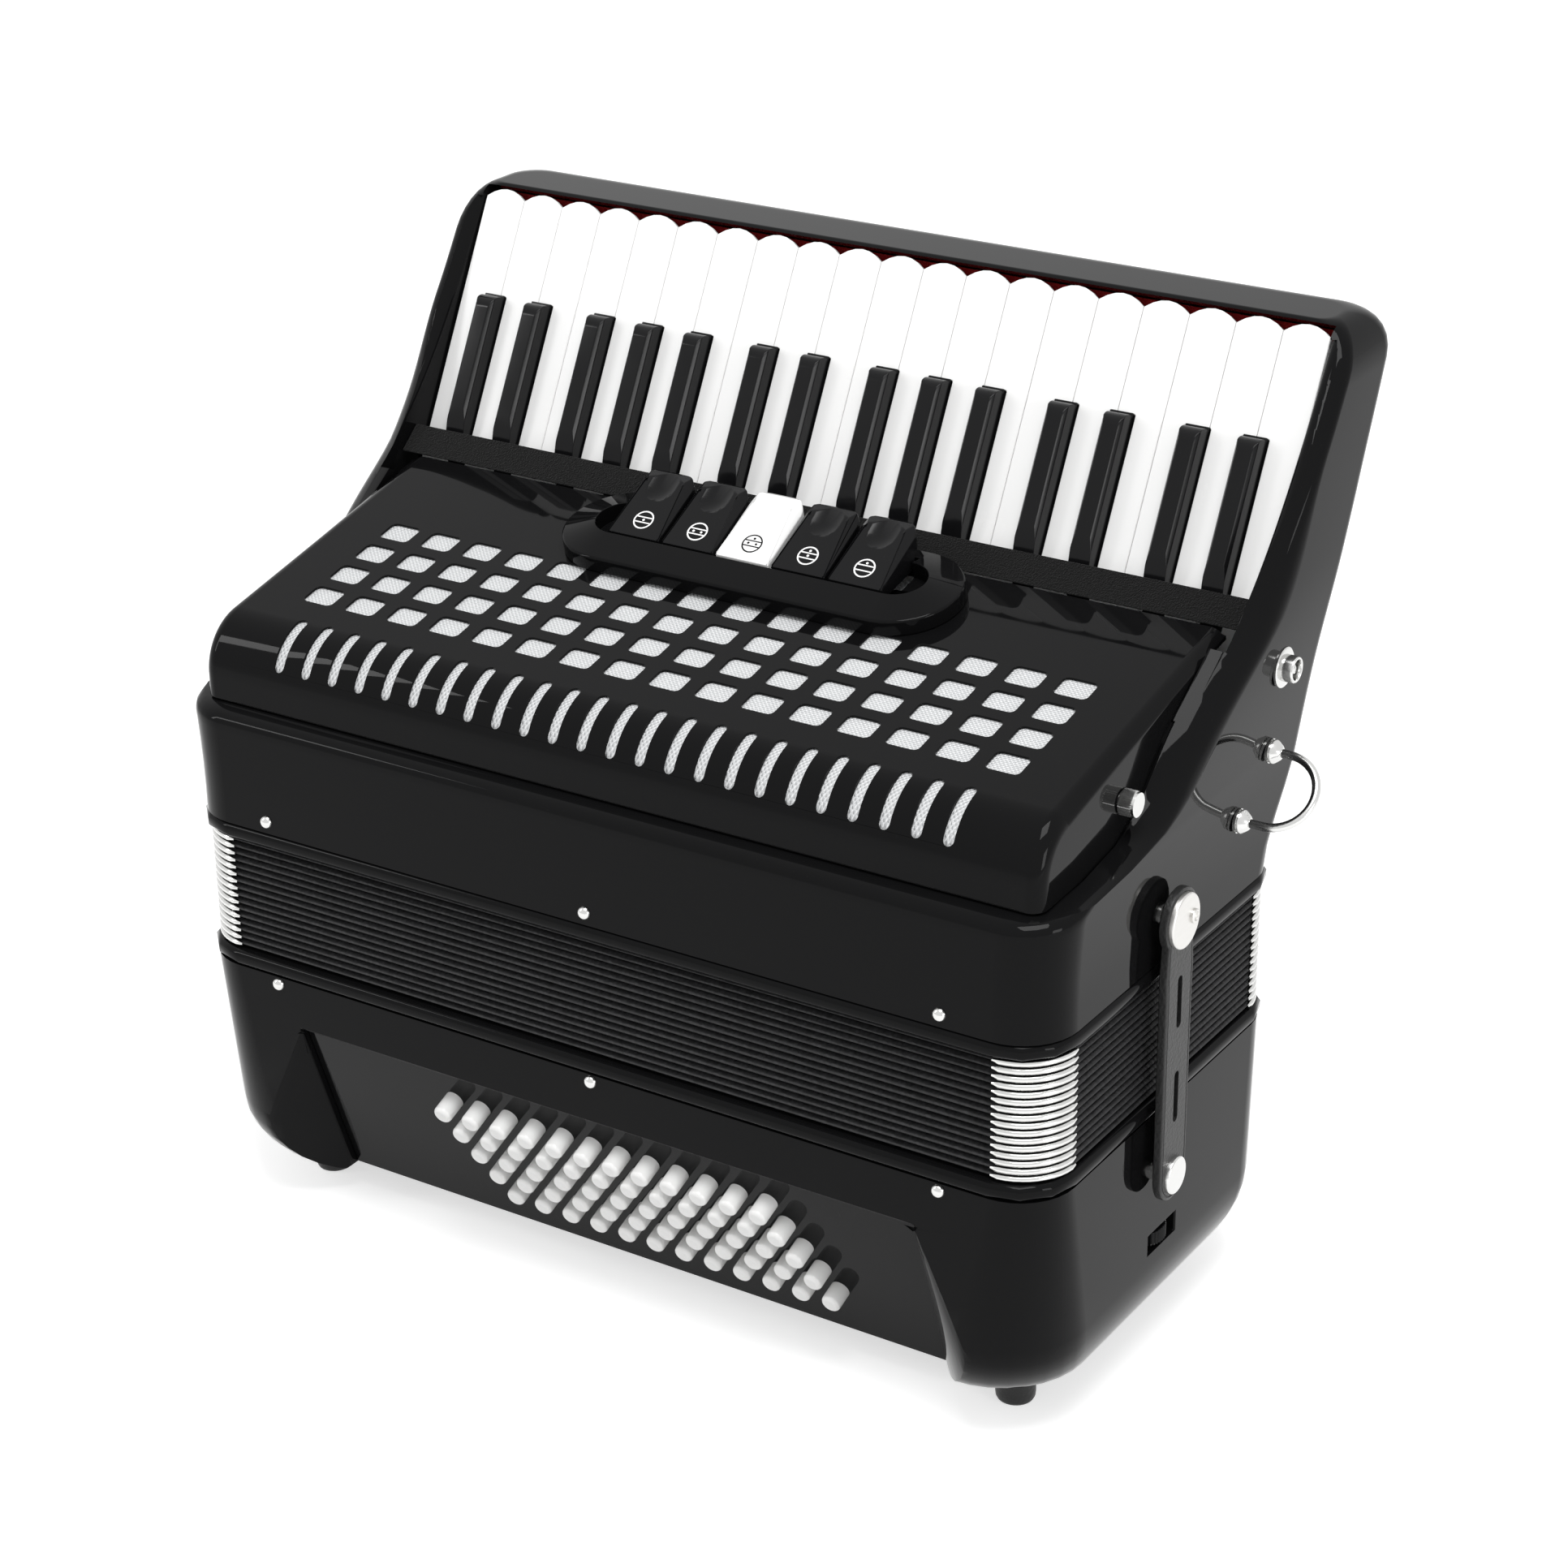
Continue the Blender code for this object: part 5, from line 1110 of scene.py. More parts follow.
def bass_hollow():
    """The room inside: the tub a wall smaller, without what lies behind the board and beside the recess."""
    hollow = rows_to_shell("hollow", bass_rows(BASS_WALL))
    low, high = panel_point(BOARD_FOOT, -0.0063), panel_point(0.0035, -0.0063)
    keep = [(CASING_FRONT, 0), (0.08, 0), (0.08, INNER_FLOOR), (low[0] - 0.0017, INNER_FLOOR), high,
            (CASING_FRONT, high[1])]
    return cut(hollow, prism("keep", keep, -KEEP_HALF, KEEP_HALF))


def bass_casing():
    casing = rows_to_shell("bass_shell", bass_rows())
    cut_recess(casing)
    cut(casing, box("wheel_slot", (0.1765, -0.0385, 0.047), (0.195, -0.0175, 0.055)))
    cut(casing, bass_hollow())
    cut(casing, turned("air_hole", ((0.050, 0.0065), (0.070, 0.0065)), "Y", (AIR_X, 0, AIR_Z)))
    tidy_normals(casing, 0.00003)
    round_chosen(casing, recess_edge, 0.0008, 3)
    return smooth(casing, 36)


tub = dress(bass_casing(), CELLULOID)
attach(tub, "bass_body")
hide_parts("bass_casing")
print("bass casing faces:", len(tub.data.polygons))

# %% [markdown]
# ## Register plate and switches
#
# The plate is a stadium with an upright wall, a long sloping shoulder and a pocket in which five rockers
# stand. Each rocker is a wedge: its slope carries a symbol in front and a thumb scoop behind.

# %% Register plate
PLATE_RUN = 0.0605
PLATE_RADIUS = 0.0243
PLATE_CENTRE = -0.0245
PLATE_MIDDLE = 0.0010


def stadium(inset, height):
    ring = []
    for centre, start in ((PLATE_RUN, -90), (-PLATE_RUN, 90)):
        for step in range(25):
            angle = math.radians(start + 180 * step / 24)
            y = (PLATE_RADIUS - inset) * math.sin(angle) + PLATE_CENTRE
            ring.append((PLATE_MIDDLE + centre + (PLATE_RADIUS - inset) * math.cos(angle), y, height))
    return ring


def register_plate():
    rows = [stadium(0.0, GAP), stadium(0.0, 0.0056), stadium(0.0003, 0.0062), stadium(0.0010, 0.0066),
            stadium(0.0132, 0.0096)]
    plate = rows_to_shell("register_plate_shape", rows)
    pocket = [(x, y) for x, y, _ in stadium(PLATE_RADIUS - 0.0108, 0)]
    cut(plate, prism("pocket", pocket, 0.0030, 0.02, "Z"))
    cut(plate, box("opening", (-OPENING_HALF, SWITCH_FRONT - GAP, -0.001),
                   (OPENING_HALF, OPENING_REAR, 0.02)))
    cut(plate, box("rear", (-0.1, -0.0004, -0.001), (0.1, 0.01, 0.02)))
    round_edges(plate, 0.0004, 2, 35)
    return smooth(seat(plate, GRILLE_FRAME), 35)


plate = dress(register_plate(), CELLULOID)
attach(plate, "treble_body")
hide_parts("register_plate")
print("register plate faces:", len(plate.data.polygons))

# %% Switches
SWITCH_HALF = 0.0115
SWITCH_TOP = 0.0198
SWITCH_REAR = -0.0045
SLOPE_FRONT = 0.0098
SWITCH_APEX = -0.0016
CREST_RUN = 0.0045
SLOPE_ANGLE = math.atan2(SWITCH_TOP - SLOPE_FRONT, -SWITCH_FRONT + SWITCH_REAR - CREST_RUN)
SWITCH_UNDER = 0.0052
SWITCH_PITCH = 0.0243


def on_slope():
    """The frame of a switch's slope: y runs up the slope from its front edge."""
    return Matrix.Translation((0, SWITCH_FRONT + GAP, SLOPE_FRONT)) @ Matrix.Rotation(SLOPE_ANGLE, 4, "X")


def side_facet(side):
    """The wedge taken off one upper edge, wider and deeper towards the rear."""
    edge = SWITCH_HALF + 0.0001
    outside = edge + 0.01
    rows = []
    for y, wide, deep in ((-0.002, 0.0002, 0.0002), (0.0330, 0.0040, 0.0034)):
        section = [(edge - wide, 0.0), (edge, -deep), (outside, -deep), (outside, 0.02), (edge - wide, 0.02)]
        rows.append([(side * x, y, z) for x, z in section])
    return seat(rows_to_shell("facet", rows), on_slope())


def switch_body():
    """A wedge cut to a rounded rear in plan, whose sides fall away more and more towards the rear."""
    front = SWITCH_FRONT + GAP
    outline = [(front, SLOPE_FRONT), (front, SWITCH_UNDER), (-0.0100, SWITCH_UNDER), (-0.0100, 0.0104),
               (-0.0045, 0.0132), (SWITCH_APEX, 0.0140), (SWITCH_APEX, SWITCH_TOP - 0.0022),
               (SWITCH_APEX - 0.0008, SWITCH_TOP - 0.0008), (SWITCH_APEX - 0.0024, SWITCH_TOP),
               (SWITCH_REAR - CREST_RUN, SWITCH_TOP)]
    body = prism("switch", outline, -SWITCH_HALF, SWITCH_HALF)
    plan = [(-SWITCH_HALF, -0.04), (SWITCH_HALF, -0.04)]
    for step in range(17):
        angle = math.radians(180 * step / 16)
        plan.append((SWITCH_HALF * math.cos(angle), -0.0090 + (SWITCH_APEX + 0.0090) * math.sin(angle)))
    cut(body, prism("plan", plan, -0.01, 0.04, "Z"), "INTERSECT")
    for side in (-1, 1):
        cut(body, side_facet(side))
    return body


def scoop():
    """A long hollow with a round front end, lying along the slope."""
    radius, reach = 0.0135, 0.0150
    profile = [(0.0, 0.001)]
    for degrees in (10, 20, 30, 40, 50, 60, 70, 80, 90):
        angle = math.radians(degrees)
        profile.append((reach * (1 - math.cos(angle)), radius * math.sin(angle)))
    profile.append((0.06, radius))
    piece = turned("scoop", profile, "Y", sides=64)
    return seat(piece, on_slope() @ Matrix.Translation((0, 0.0085, radius - 0.0014)))


def register_switch(x):
    body = switch_body()
    cut(body, scoop())
    round_edges(body, 0.0004, 2, 24)
    body.location.x = x
    return smooth(seat(body, GRILLE_FRAME), 28)


# %% [markdown]
# ## Switch symbols
#
# A symbol is a ring with two bars, and dots that say which reeds sound. Its pieces are thin solids let into
# the slope, so that they stay crisp at any distance.

# %% Symbols
MARK_DEPTH = 0.0004
MARK_PROUD = 0.00008


def symbol(x, dots):
    """A ring with two bars and its dots, laid into the slope."""
    outer, inner = 0.0042, 0.0036
    ring = turned("ring", ((-MARK_DEPTH, outer), (MARK_PROUD, outer)), "Z", sides=40)
    cut(ring, turned("hole", ((-0.001, inner), (0.001, inner)), "Z", sides=40))
    pieces = [ring]
    for y in (-0.0012, 0.0012):
        half = math.sqrt(inner ** 2 - y ** 2) + 0.0002
        pieces.append(box("bar", (-half, y - 0.00026, -MARK_DEPTH), (half, y + 0.00026, MARK_PROUD)))
    for dot_x, dot_y in dots:
        dot = turned("dot", ((-MARK_DEPTH, 0.00052), (MARK_PROUD, 0.00052)), "Z", sides=16)
        dot.location = (dot_x, dot_y, 0)
        pieces.append(seat(dot, Matrix.Identity(4)))
    mark = join("symbol", pieces)
    return smooth(seat(mark, GRILLE_FRAME @ on_slope() @ Matrix.Translation((x + 0.0006, 0.0078, 0))), 40)


# %% Five switches
MIDDLE_DOT, LEFT_DOT, RIGHT_DOT, TOP_DOT = (0, 0), (-0.0017, 0), (0.0017, 0), (0, 0.0023)
SWITCH_DOTS = ((MIDDLE_DOT,), (LEFT_DOT, RIGHT_DOT), (TOP_DOT, LEFT_DOT, RIGHT_DOT), (TOP_DOT, MIDDLE_DOT),
               (TOP_DOT,))
for number, dots in enumerate(SWITCH_DOTS, 1):
    node = f"register_switch_{number}"
    x = (number - 3) * SWITCH_PITCH
    white = number == 3
    body = register_switch(x)
    dress(body, IVORY if white else EBONY)
    mark = symbol(x, dots)
    dress(mark, EBONY if white else IVORY)
    body.name, mark.name = node + "_shape", node + "_symbol"
    for piece in (body, mark):
        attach(piece, node)
        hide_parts(node)
print("switches:", number)

# %% [markdown]
# ## Metal fittings
#
# All fittings are turned on a lathe: pins with round heads, a stud with a hollow cup, shoulder-strap rings
# with a cone where each leg enters the casing, and thumb screws with a knurled rim.

# %% Bellows pins
PIN_RADIUS = 0.0026
PIN_HEIGHT = 0.0020
PIN_X = 0.147


def pin(x, side, z):
    """A round-headed pin on the front (side -1) or back wall."""
    profile = [(0.0, PIN_RADIUS)]
    for degrees in (15, 30, 45, 60, 75, 88):
        angle = math.radians(degrees)
        profile.append((PIN_HEIGHT * math.sin(angle), PIN_RADIUS * math.cos(angle)))
    return turned("pin", [(side * along, r) for along, r in profile], "Y",
                  (x, side * HALF_DEPTH + STAND_SHIFT, z), 20)


def pins(name, z, body):
    every = [pin(x, side, z) for x in (-PIN_X, 0, PIN_X) for side in (-1, 1)]
    row = dress(smooth(join(name, every), 50), CHROME)
    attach(row, body)
    print(name + ":", len(every))


pins("treble_pins", 0.1717, "treble_body")
pins("bass_pins", 0.1027, "bass_body")

# %% Studs
STUD_Y = 0.039
STUD_Z = 0.2524


def stud(side):
    """A flange, a cup and the small button inside the cup."""
    face = end_half(STUD_Z - TREBLE_BASE) - 0.0002
    profile = ((0.0, 0.0068), (0.0004, 0.0075), (0.0012, 0.0075), (0.0016, 0.0070), (0.0017, 0.0050),
               (0.0055, 0.0050), (0.0061, 0.0046), (0.0061, 0.0039), (0.0054, 0.0036), (0.0022, 0.0034),
               (0.0022, 0.0018), (0.0046, 0.0018), (0.0052, 0.0012), (0.0053, 0.0001))
    return turned("stud", [(side * (face + along), r) for along, r in profile], "X", (0, STUD_Y, STUD_Z), 36)


studs = dress(smooth(join("strap_studs", [stud(-1), stud(1)]), 40), CHROME)
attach(studs, "treble_body")
print("stud faces:", len(studs.data.polygons))

# %% Shoulder-strap rings
RING_UPPER = (0.0384, 0.2194)
RING_LOWER = (0.0180, 0.1994)
RING_OUTER = 0.2162
RING_ROD = 0.00165
RING_NORMAL = Vector((0, RING_UPPER[1] - RING_LOWER[1], RING_LOWER[0] - RING_UPPER[0]))


def rod_along(path, radius, sides=16):
    """A round rod: rings of points square to a path that lies in the ring's plane."""
    rows = []
    for i, point in enumerate(path):
        ahead = (path[min(i + 1, len(path) - 1)] - path[max(i - 1, 0)]).normalized()
        aside = ahead.cross(RING_NORMAL).normalized()
        up = ahead.cross(aside)
        turns = [2 * math.pi * k / sides for k in range(sides)]
        rows.append([point + (aside * math.cos(turn) + up * math.sin(turn)) * radius for turn in turns])
    return rows_to_shell("rod", rows)


def strap_ring(side):
    """Two legs out of the casing, joined by a half circle."""
    high, low = Vector((0, *RING_UPPER)), Vector((0, *RING_LOWER))
    middle, half = (high + low) / 2, (high - low) / 2
    bow = RING_OUTER - RING_ROD
    start = bow - half.length
    legs = (0.1875, 0.1935, start - 0.001)
    path = [high + Vector((side * x, 0, 0)) for x in legs]
    for step in range(25):
        angle = math.pi * step / 24
        outwards = start + half.length * math.sin(angle)
        path.append(middle + half * math.cos(angle) + Vector((side * outwards, 0, 0)))
    path += [low + Vector((side * x, 0, 0)) for x in reversed(legs)]
    pieces = [rod_along(path, RING_ROD)]
    for leg in (high, low):
        face = end_half(leg.z - TREBLE_BASE) + 0.0002
        cone = ((0.0, 0.0042), (0.0003, 0.0046), (0.0010, 0.0046), (0.0011, 0.0038), (0.0016, 0.0038),
                (0.0017, 0.0045), (0.0028, 0.0044), (0.0048, 0.0027), (0.0052, 0.0021), (0.0052, 0.0016))
        pieces.append(turned("cone", [(side * (face + a), r) for a, r in cone], "X", leg, 28))
    return smooth(join("ring", pieces), 38)


for side, node in ((1, "strap_ring_low_end"), (-1, "strap_ring_high_end")):
    ring = dress(strap_ring(side), CHROME)
    ring.name = node + "_shape"
    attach(ring, "treble_body")
    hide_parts(node)
print("rings:", 2)

# %% Thumb screws
SCREW_Y = -0.054
SCREW_Z = 0.2334
SCREW_TOOTH = 0.00048
SCREW_POINTS = 72


def thumb_screw(side):
    """A knurled drum with a bright face; every other point of a toothed ring is drawn in."""
    rows = []
    for along, radius, tooth in ((-0.0010, 0.0030, 0), (0.0004, 0.0034, 0), (0.0005, 0.0048, SCREW_TOOTH),
                                 (0.0050, 0.0048, SCREW_TOOTH), (0.0055, 0.0045, 0), (0.0064, 0.0044, 0),
                                 (0.0065, 0.0040, 0)):
        row = []
        for step in range(SCREW_POINTS):
            angle = 2 * math.pi * step / SCREW_POINTS
            reach = radius - tooth * (step % 2)
            row.append((side * (GRILLE_HALF + along), SCREW_Y + reach * math.cos(angle),
                        SCREW_Z + reach * math.sin(angle)))
        rows.append(row)
    return rows_to_shell("thumb_screw", rows)


screws = dress(smooth(join("thumb_screws", [thumb_screw(-1), thumb_screw(1)]), 25), CHROME)
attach(screws, "treble_body")
print("thumb screw faces:", len(screws.data.polygons))

# %% [markdown]
# ## Bellows straps
#
# Two leather straps hold the bellows shut. A strap is cut from thick leather, so it has a rounded edge, a
# pressed line beside it and two slots. It turns on its lower pin, and a bright disc covers each end.

# %% Strap leather
STRAP_FACE = 0.1925
STRAP_THICK = 0.0035
STRAP_FOOT = (-0.036, 0.0825)
STRAP_REACH = 0.102


def strap_outline(inset):
    """The strap's outline with its foot at the origin and a wider round head."""
    low, high = 0.0100 - inset, 0.0120 - inset
    points = []
    for step in range(17):
        angle = math.radians(180 + 180 * step / 16)
        points.append((low * math.cos(angle), low * math.sin(angle)))
    points += [(low, STRAP_REACH - 0.030), (low + 0.0004, STRAP_REACH - 0.020)]
    for step in range(21):
        angle = math.radians(-40 + 260 * step / 20)
        points.append((high * math.cos(angle), STRAP_REACH + high * math.sin(angle)))
    points += [(-low - 0.0004, STRAP_REACH - 0.020), (-low, STRAP_REACH - 0.030)]
    return points


def long_slot(y, length, width, steps=8):
    """A slot with round ends."""
    points = []
    for side in (1, -1):
        for step in range(steps + 1):
            angle = math.pi * step / steps
            points.append((side * width / 2 * math.cos(angle),
                           y + side * (length / 2 - width / 2 + width / 2 * math.sin(angle))))
    return points


def strap_leather(side):
    rows = []
    for out, inset in ((0.0, 0.0008), (0.0006, 0.0), (0.0026, 0.0), (0.0032, 0.0002), (0.0035, 0.0008),
                       (0.0035, 0.0013), (0.0032, 0.0015), (0.0032, 0.0018), (0.0035, 0.0020)):
        rows.append([(side * (STRAP_FACE + out), STRAP_FOOT[0] + y, STRAP_FOOT[1] + z)
                     for y, z in strap_outline(inset)])
    strap = rows_to_shell("strap", rows)
    for at in (0.032, 0.070):
        outline = [(STRAP_FOOT[0] + y, STRAP_FOOT[1] + z) for y, z in long_slot(at, 0.0205, 0.0034)]
        low, high = sorted((side * 0.190, side * 0.198))
        cut(strap, prism("slot", outline, low, high))
    bore = ((side * 0.190, 0.0021), (side * (STRAP_FACE + STRAP_THICK), 0.0021))
    cut(strap, turned("bore", bore, "X", (0, *STRAP_FOOT), 16))
    return smooth(strap, 40)


# %% Strap discs


def disc(side, z, radius, rivet):
    """A flat disc with a turned edge, and a rivet off its middle where it has one."""
    out = STRAP_FACE + STRAP_THICK
    profile = ((-0.0004, radius), (0.0012, radius), (0.0017, radius - 0.0003), (0.0019, radius - 0.0008),
               (0.0019, 0.0001))
    centre = (0, STRAP_FOOT[0], STRAP_FOOT[1] + z)
    pieces = [turned("disc", [(side * (out + a), r) for a, r in profile], "X", centre, 48)]
    if rivet:
        profile = ((0.0018, 0.0027), (0.0026, 0.0027), (0.0029, 0.0024), (0.0029, 0.0018), (0.0024, 0.0015),
                   (0.0024, 0.0001))
        place = (0, STRAP_FOOT[0] + rivet, centre[2])
        pieces.append(turned("rivet", [(side * (out + a), r) for a, r in profile], "X", place, 24))
    return smooth(join("disc", pieces), 40)


for side, name in ((1, "low_end"), (-1, "high_end")):
    node = "bellows_strap_" + name
    leather_piece = dress(strap_leather(side), LEATHER)
    upper = dress(disc(side, STRAP_REACH, 0.0104, 0.0052), BRUSHED_DISC)
    lower = dress(disc(side, 0.0, 0.0072, None), CHROME)
    for piece, label in ((leather_piece, "leather"), (upper, "upper_disc"), (lower, "lower_disc")):
        piece.name = node + "_" + label
        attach(piece, node)
        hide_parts(node)
print("straps:", 2)

# %% Strap posts


def post(side, z, reach, radius):
    profile = ((HALF_LENGTH - 0.002, radius), (reach, radius))
    return turned("post", [(side * a, r) for a, r in profile], "X", (0, STRAP_FOOT[0], z), 20)


lower_posts = [post(side, STRAP_FOOT[1], STRAP_FACE - GAP, 0.0040) for side in (-1, 1)]
lower_posts += [post(side, STRAP_FOOT[1], STRAP_FACE + STRAP_THICK - 0.0006, 0.0018) for side in (-1, 1)]
made = dress(smooth(join("lower_strap_posts", lower_posts), 40), CHROME)
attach(made, "bass_body")
upper_posts = [post(side, STRAP_FOOT[1] + STRAP_REACH, STRAP_FACE - 0.0014, 0.0040) for side in (-1, 1)]
made = dress(smooth(join("upper_strap_posts", upper_posts), 40), CHROME)
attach(made, "treble_body")
print("strap posts:", len(upper_posts) + len(lower_posts) // 2)

# %% [markdown]
# ## Feet, strap wheel and air button
#
# The casing stands on four rubber feet. The wheel sticks out of a slot in the end wall and tightens the
# hand strap. The air button lets the bellows close without a sound.

# %% Rubber feet


def foot(x, y):
    profile = ((0.0, 0.0058), (0.0006, 0.0068), (0.0016, 0.0073), (0.0036, 0.0075), (0.0100, 0.0075),
               (0.0180, 0.0075))
    return turned("foot", profile, "Z", (x, y + STAND_SHIFT, 0), 32)


feet = [foot(x, y) for x in (-0.158, 0.158) for y in (-0.0528, 0.0528)]
feet = dress(smooth(join("rubber_feet", feet), 40), RUBBER)
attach(feet, "bass_body")
print("feet faces:", len(feet.data.polygons))

# %% Strap wheel
WHEEL_X = 0.179
WHEEL_Z = 0.051
WHEEL_RADIUS = 0.0101
WHEEL_TEETH = 40


def strap_wheel():
    """The thumb wheel, with fine teeth round its rim, and its screw."""
    rows = []
    for z, radius, tooth in ((-0.0030, 0.0088, 0), (-0.0026, WHEEL_RADIUS, 0.0005),
                             (0.0026, WHEEL_RADIUS, 0.0005), (0.0030, 0.0088, 0)):
        row = []
        for k in range(2 * WHEEL_TEETH):
            angle = math.pi * k / WHEEL_TEETH
            reach = radius - tooth * (k % 2)
            row.append((WHEEL_X + reach * math.cos(angle), STAND_SHIFT + reach * math.sin(angle),
                        WHEEL_Z + z))
        rows.append(row)
    rim = rows_to_shell("wheel", rows)
    shaft = turned("shaft", ((-0.008, 0.0020), (0.008, 0.0020)), "Z", (WHEEL_X, STAND_SHIFT, WHEEL_Z), 20)
    return smooth(join("strap_wheel_shape", [rim, shaft]), 25)


wheel = dress(strap_wheel(), EBONY)
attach(wheel, "strap_wheel")
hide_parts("strap_wheel")
print("wheel teeth:", WHEEL_TEETH)

# %% Air button


def air_button():
    """The valve button in the back wall, with a flange that holds it inside."""
    wall = HALF_DEPTH + STAND_SHIFT
    profile = ((-0.0093, 0.0088), (-0.0064, 0.0088), (-0.0063, 0.0060), (0.0030, 0.0060), (0.0036, 0.0058),
               (0.0040, 0.0053), (0.0038, 0.0030), (0.0036, 0.0001))
    return smooth(turned("air_button_shape", profile, "Y", (AIR_X, wall, AIR_Z), 36), 40)


button = dress(air_button(), EBONY)
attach(button, "air_button")
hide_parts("air_button")
print("air button faces:", len(button.data.polygons))

# %% [markdown]
# ## Button board
#
# Sixty white buttons stand in five slanting rows on a sloping black board. One button is a cylinder whose
# top edge is rounded over, and the other fifty-nine are copies.

# %% Board and buttons
BUTTON_ROWS = 5
BUTTON_COLUMNS = 12
BUTTON_PITCH = 0.0129
BUTTON_ROW_PITCH = 0.0097
BUTTON_ROW_SHIFT = 0.0056
BUTTON_RADIUS = 0.0038
BUTTON_LENGTH = 0.0075
BUTTON_ROOT = -0.0060
BUTTON_LIP = 0.0016
FIELD_X = 0.0123
FIELD_DOWN = 0.0357
BOARD_HALF = 0.1369
BOARD_THICK = 0.0025


def one_button():
    profile = [(BUTTON_ROOT, BUTTON_RADIUS)]
    for step in range(5):
        angle = math.radians(90 * step / 4)
        profile.append((BUTTON_LENGTH - BUTTON_LIP + BUTTON_LIP * math.sin(angle),
                        BUTTON_RADIUS - BUTTON_LIP + BUTTON_LIP * math.cos(angle)))
    return turned("button", profile, "Z", sides=20)


def bass_buttons():
    first = one_button()
    every = []
    for row in range(BUTTON_ROWS):
        from_middle = row - (BUTTON_ROWS - 1) / 2
        for column in range(BUTTON_COLUMNS):
            twin = copy_of(first, "button")
            across = (column - (BUTTON_COLUMNS - 1) / 2) * BUTTON_PITCH
            twin.location = (FIELD_X + across + from_middle * BUTTON_ROW_SHIFT,
                             -FIELD_DOWN - from_middle * BUTTON_ROW_PITCH, 0)
            every.append(twin)
    bpy.data.objects.remove(first, do_unlink=True)
    buttons = seat(join("bass_buttons", every), PANEL_FRAME)
    return smooth(buttons)


def button_board():
    (top_y, top_z), (foot_y, foot_z) = board_line(0)
    outline = [(top_y, top_z - GAP), (top_y + BOARD_THICK, top_z - GAP),
               (foot_y + BOARD_THICK, foot_z + GAP), (foot_y, foot_z + GAP)]
    board = prism("bass_board", outline, -BOARD_HALF, BOARD_HALF)
    round_edges(board, 0.0004)
    return smooth(board)


buttons = dress(bass_buttons(), BUTTON_WHITE)
board = dress(button_board(), CELLULOID)
for piece in (buttons, board):
    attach(piece, "bass_body")
    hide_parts("bass_button_board")
print("bass buttons:", BUTTON_ROWS * BUTTON_COLUMNS)

# %% [markdown]
# ## Bellows
#
# Sixteen folds of cloth lie tightly together, and each fold's corners are capped by a bright metal strip.
# The folds are one shell with rounded ridges. The strips are round bars bent round the corner. When the
# instrument is played the treble side rises and the bellows stretch; here both are built at rest, attached to
# neither body.

# %% Folds
BELLOWS_BASE = 0.1123
BELLOWS_TOP = 0.1603
FOLDS = 16
FOLD_PITCH = 0.003
FOLD_DEPTH = 0.0055
FOLD_INSIDE = 0.0085
BELLOWS_HALF_X = 0.1872
BELLOWS_HALF_Y = 0.0882
BELLOWS_CORNER = 0.021


def fold_ring(inset, z):
    outline = rounded_outline(BELLOWS_HALF_X - inset, inset - BELLOWS_HALF_Y, BELLOWS_HALF_Y - inset,
                              BELLOWS_CORNER - inset, BELLOWS_CORNER - inset, 8)
    return [(x, y + STAND_SHIFT, z) for x, y in outline]


def folds():
    rows = []
    for fold in range(FOLDS):
        low = BELLOWS_BASE + fold * FOLD_PITCH
        for share, inset in ((0.0, 1.0), (0.16, 0.30), (0.34, 0.06), (0.5, 0.0), (0.66, 0.06), (0.84, 0.30)):
            rows.append(fold_ring(FOLD_DEPTH * inset, low + share * FOLD_PITCH))
    rows.append(fold_ring(FOLD_DEPTH, BELLOWS_TOP))
    deep = [fold_ring(FOLD_INSIDE, BELLOWS_TOP), fold_ring(FOLD_INSIDE, BELLOWS_BASE), rows[0]]
    shell = rows_to_shell("bellows_folds", rows + deep, capped=False)
    tidy_normals(shell)
    return smooth(shell, 50)


bellows = dress(folds(), BELLOWS_CLOTH)
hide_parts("bellows")
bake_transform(bellows)
print("bellows folds:", FOLDS)

# %% Corner strips
STRIP_RADIUS = 0.0012
STRIP_PROUD = 0.0002
STRIP_SIDES = 8
STRIP_STEPS = 12


def corner_strip(corner_x, corner_y, start, z):
    """A round bar bent through a quarter turn, seen from above."""
    rows = []
    reach = BELLOWS_CORNER + STRIP_PROUD
    for step in range(STRIP_STEPS + 1):
        angle = math.radians(start + 90 * step / STRIP_STEPS)
        out = Vector((math.cos(angle), math.sin(angle), 0))
        middle = Vector((corner_x, corner_y, z)) + out * reach
        radius = STRIP_RADIUS * (0.45 if step in (0, STRIP_STEPS) else 1.0)
        row = []
        for side in range(STRIP_SIDES):
            turn = 2 * math.pi * side / STRIP_SIDES
            row.append(middle + (out * math.cos(turn) + Vector((0, 0, math.sin(turn)))) * radius)
        rows.append(row)
    return rows_to_shell("strip", rows)


def corner_strips():
    every = []
    for fold in range(FOLDS):
        z = BELLOWS_BASE + (fold + 0.5) * FOLD_PITCH
        x = BELLOWS_HALF_X - BELLOWS_CORNER
        y = BELLOWS_HALF_Y - BELLOWS_CORNER
        for side_x, side_y, start in ((1, -1, -90), (1, 1, 0), (-1, 1, 90), (-1, -1, 180)):
            every.append(corner_strip(side_x * x, side_y * y + STAND_SHIFT, start, z))
    return smooth(join("bellows_corner_strips", every), 60)


strips = dress(corner_strips(), CHROME)
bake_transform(strips)
print("corner strips:", 4 * FOLDS)

# %% [markdown]
# ## Camera and light
#
# The camera stands where the photographer stood. The camera and the mirrors see the world and the floor
# as white, whatever light the two give, so how bright the accordion is stays a matter of the lamps and of
# the world's plain strength.

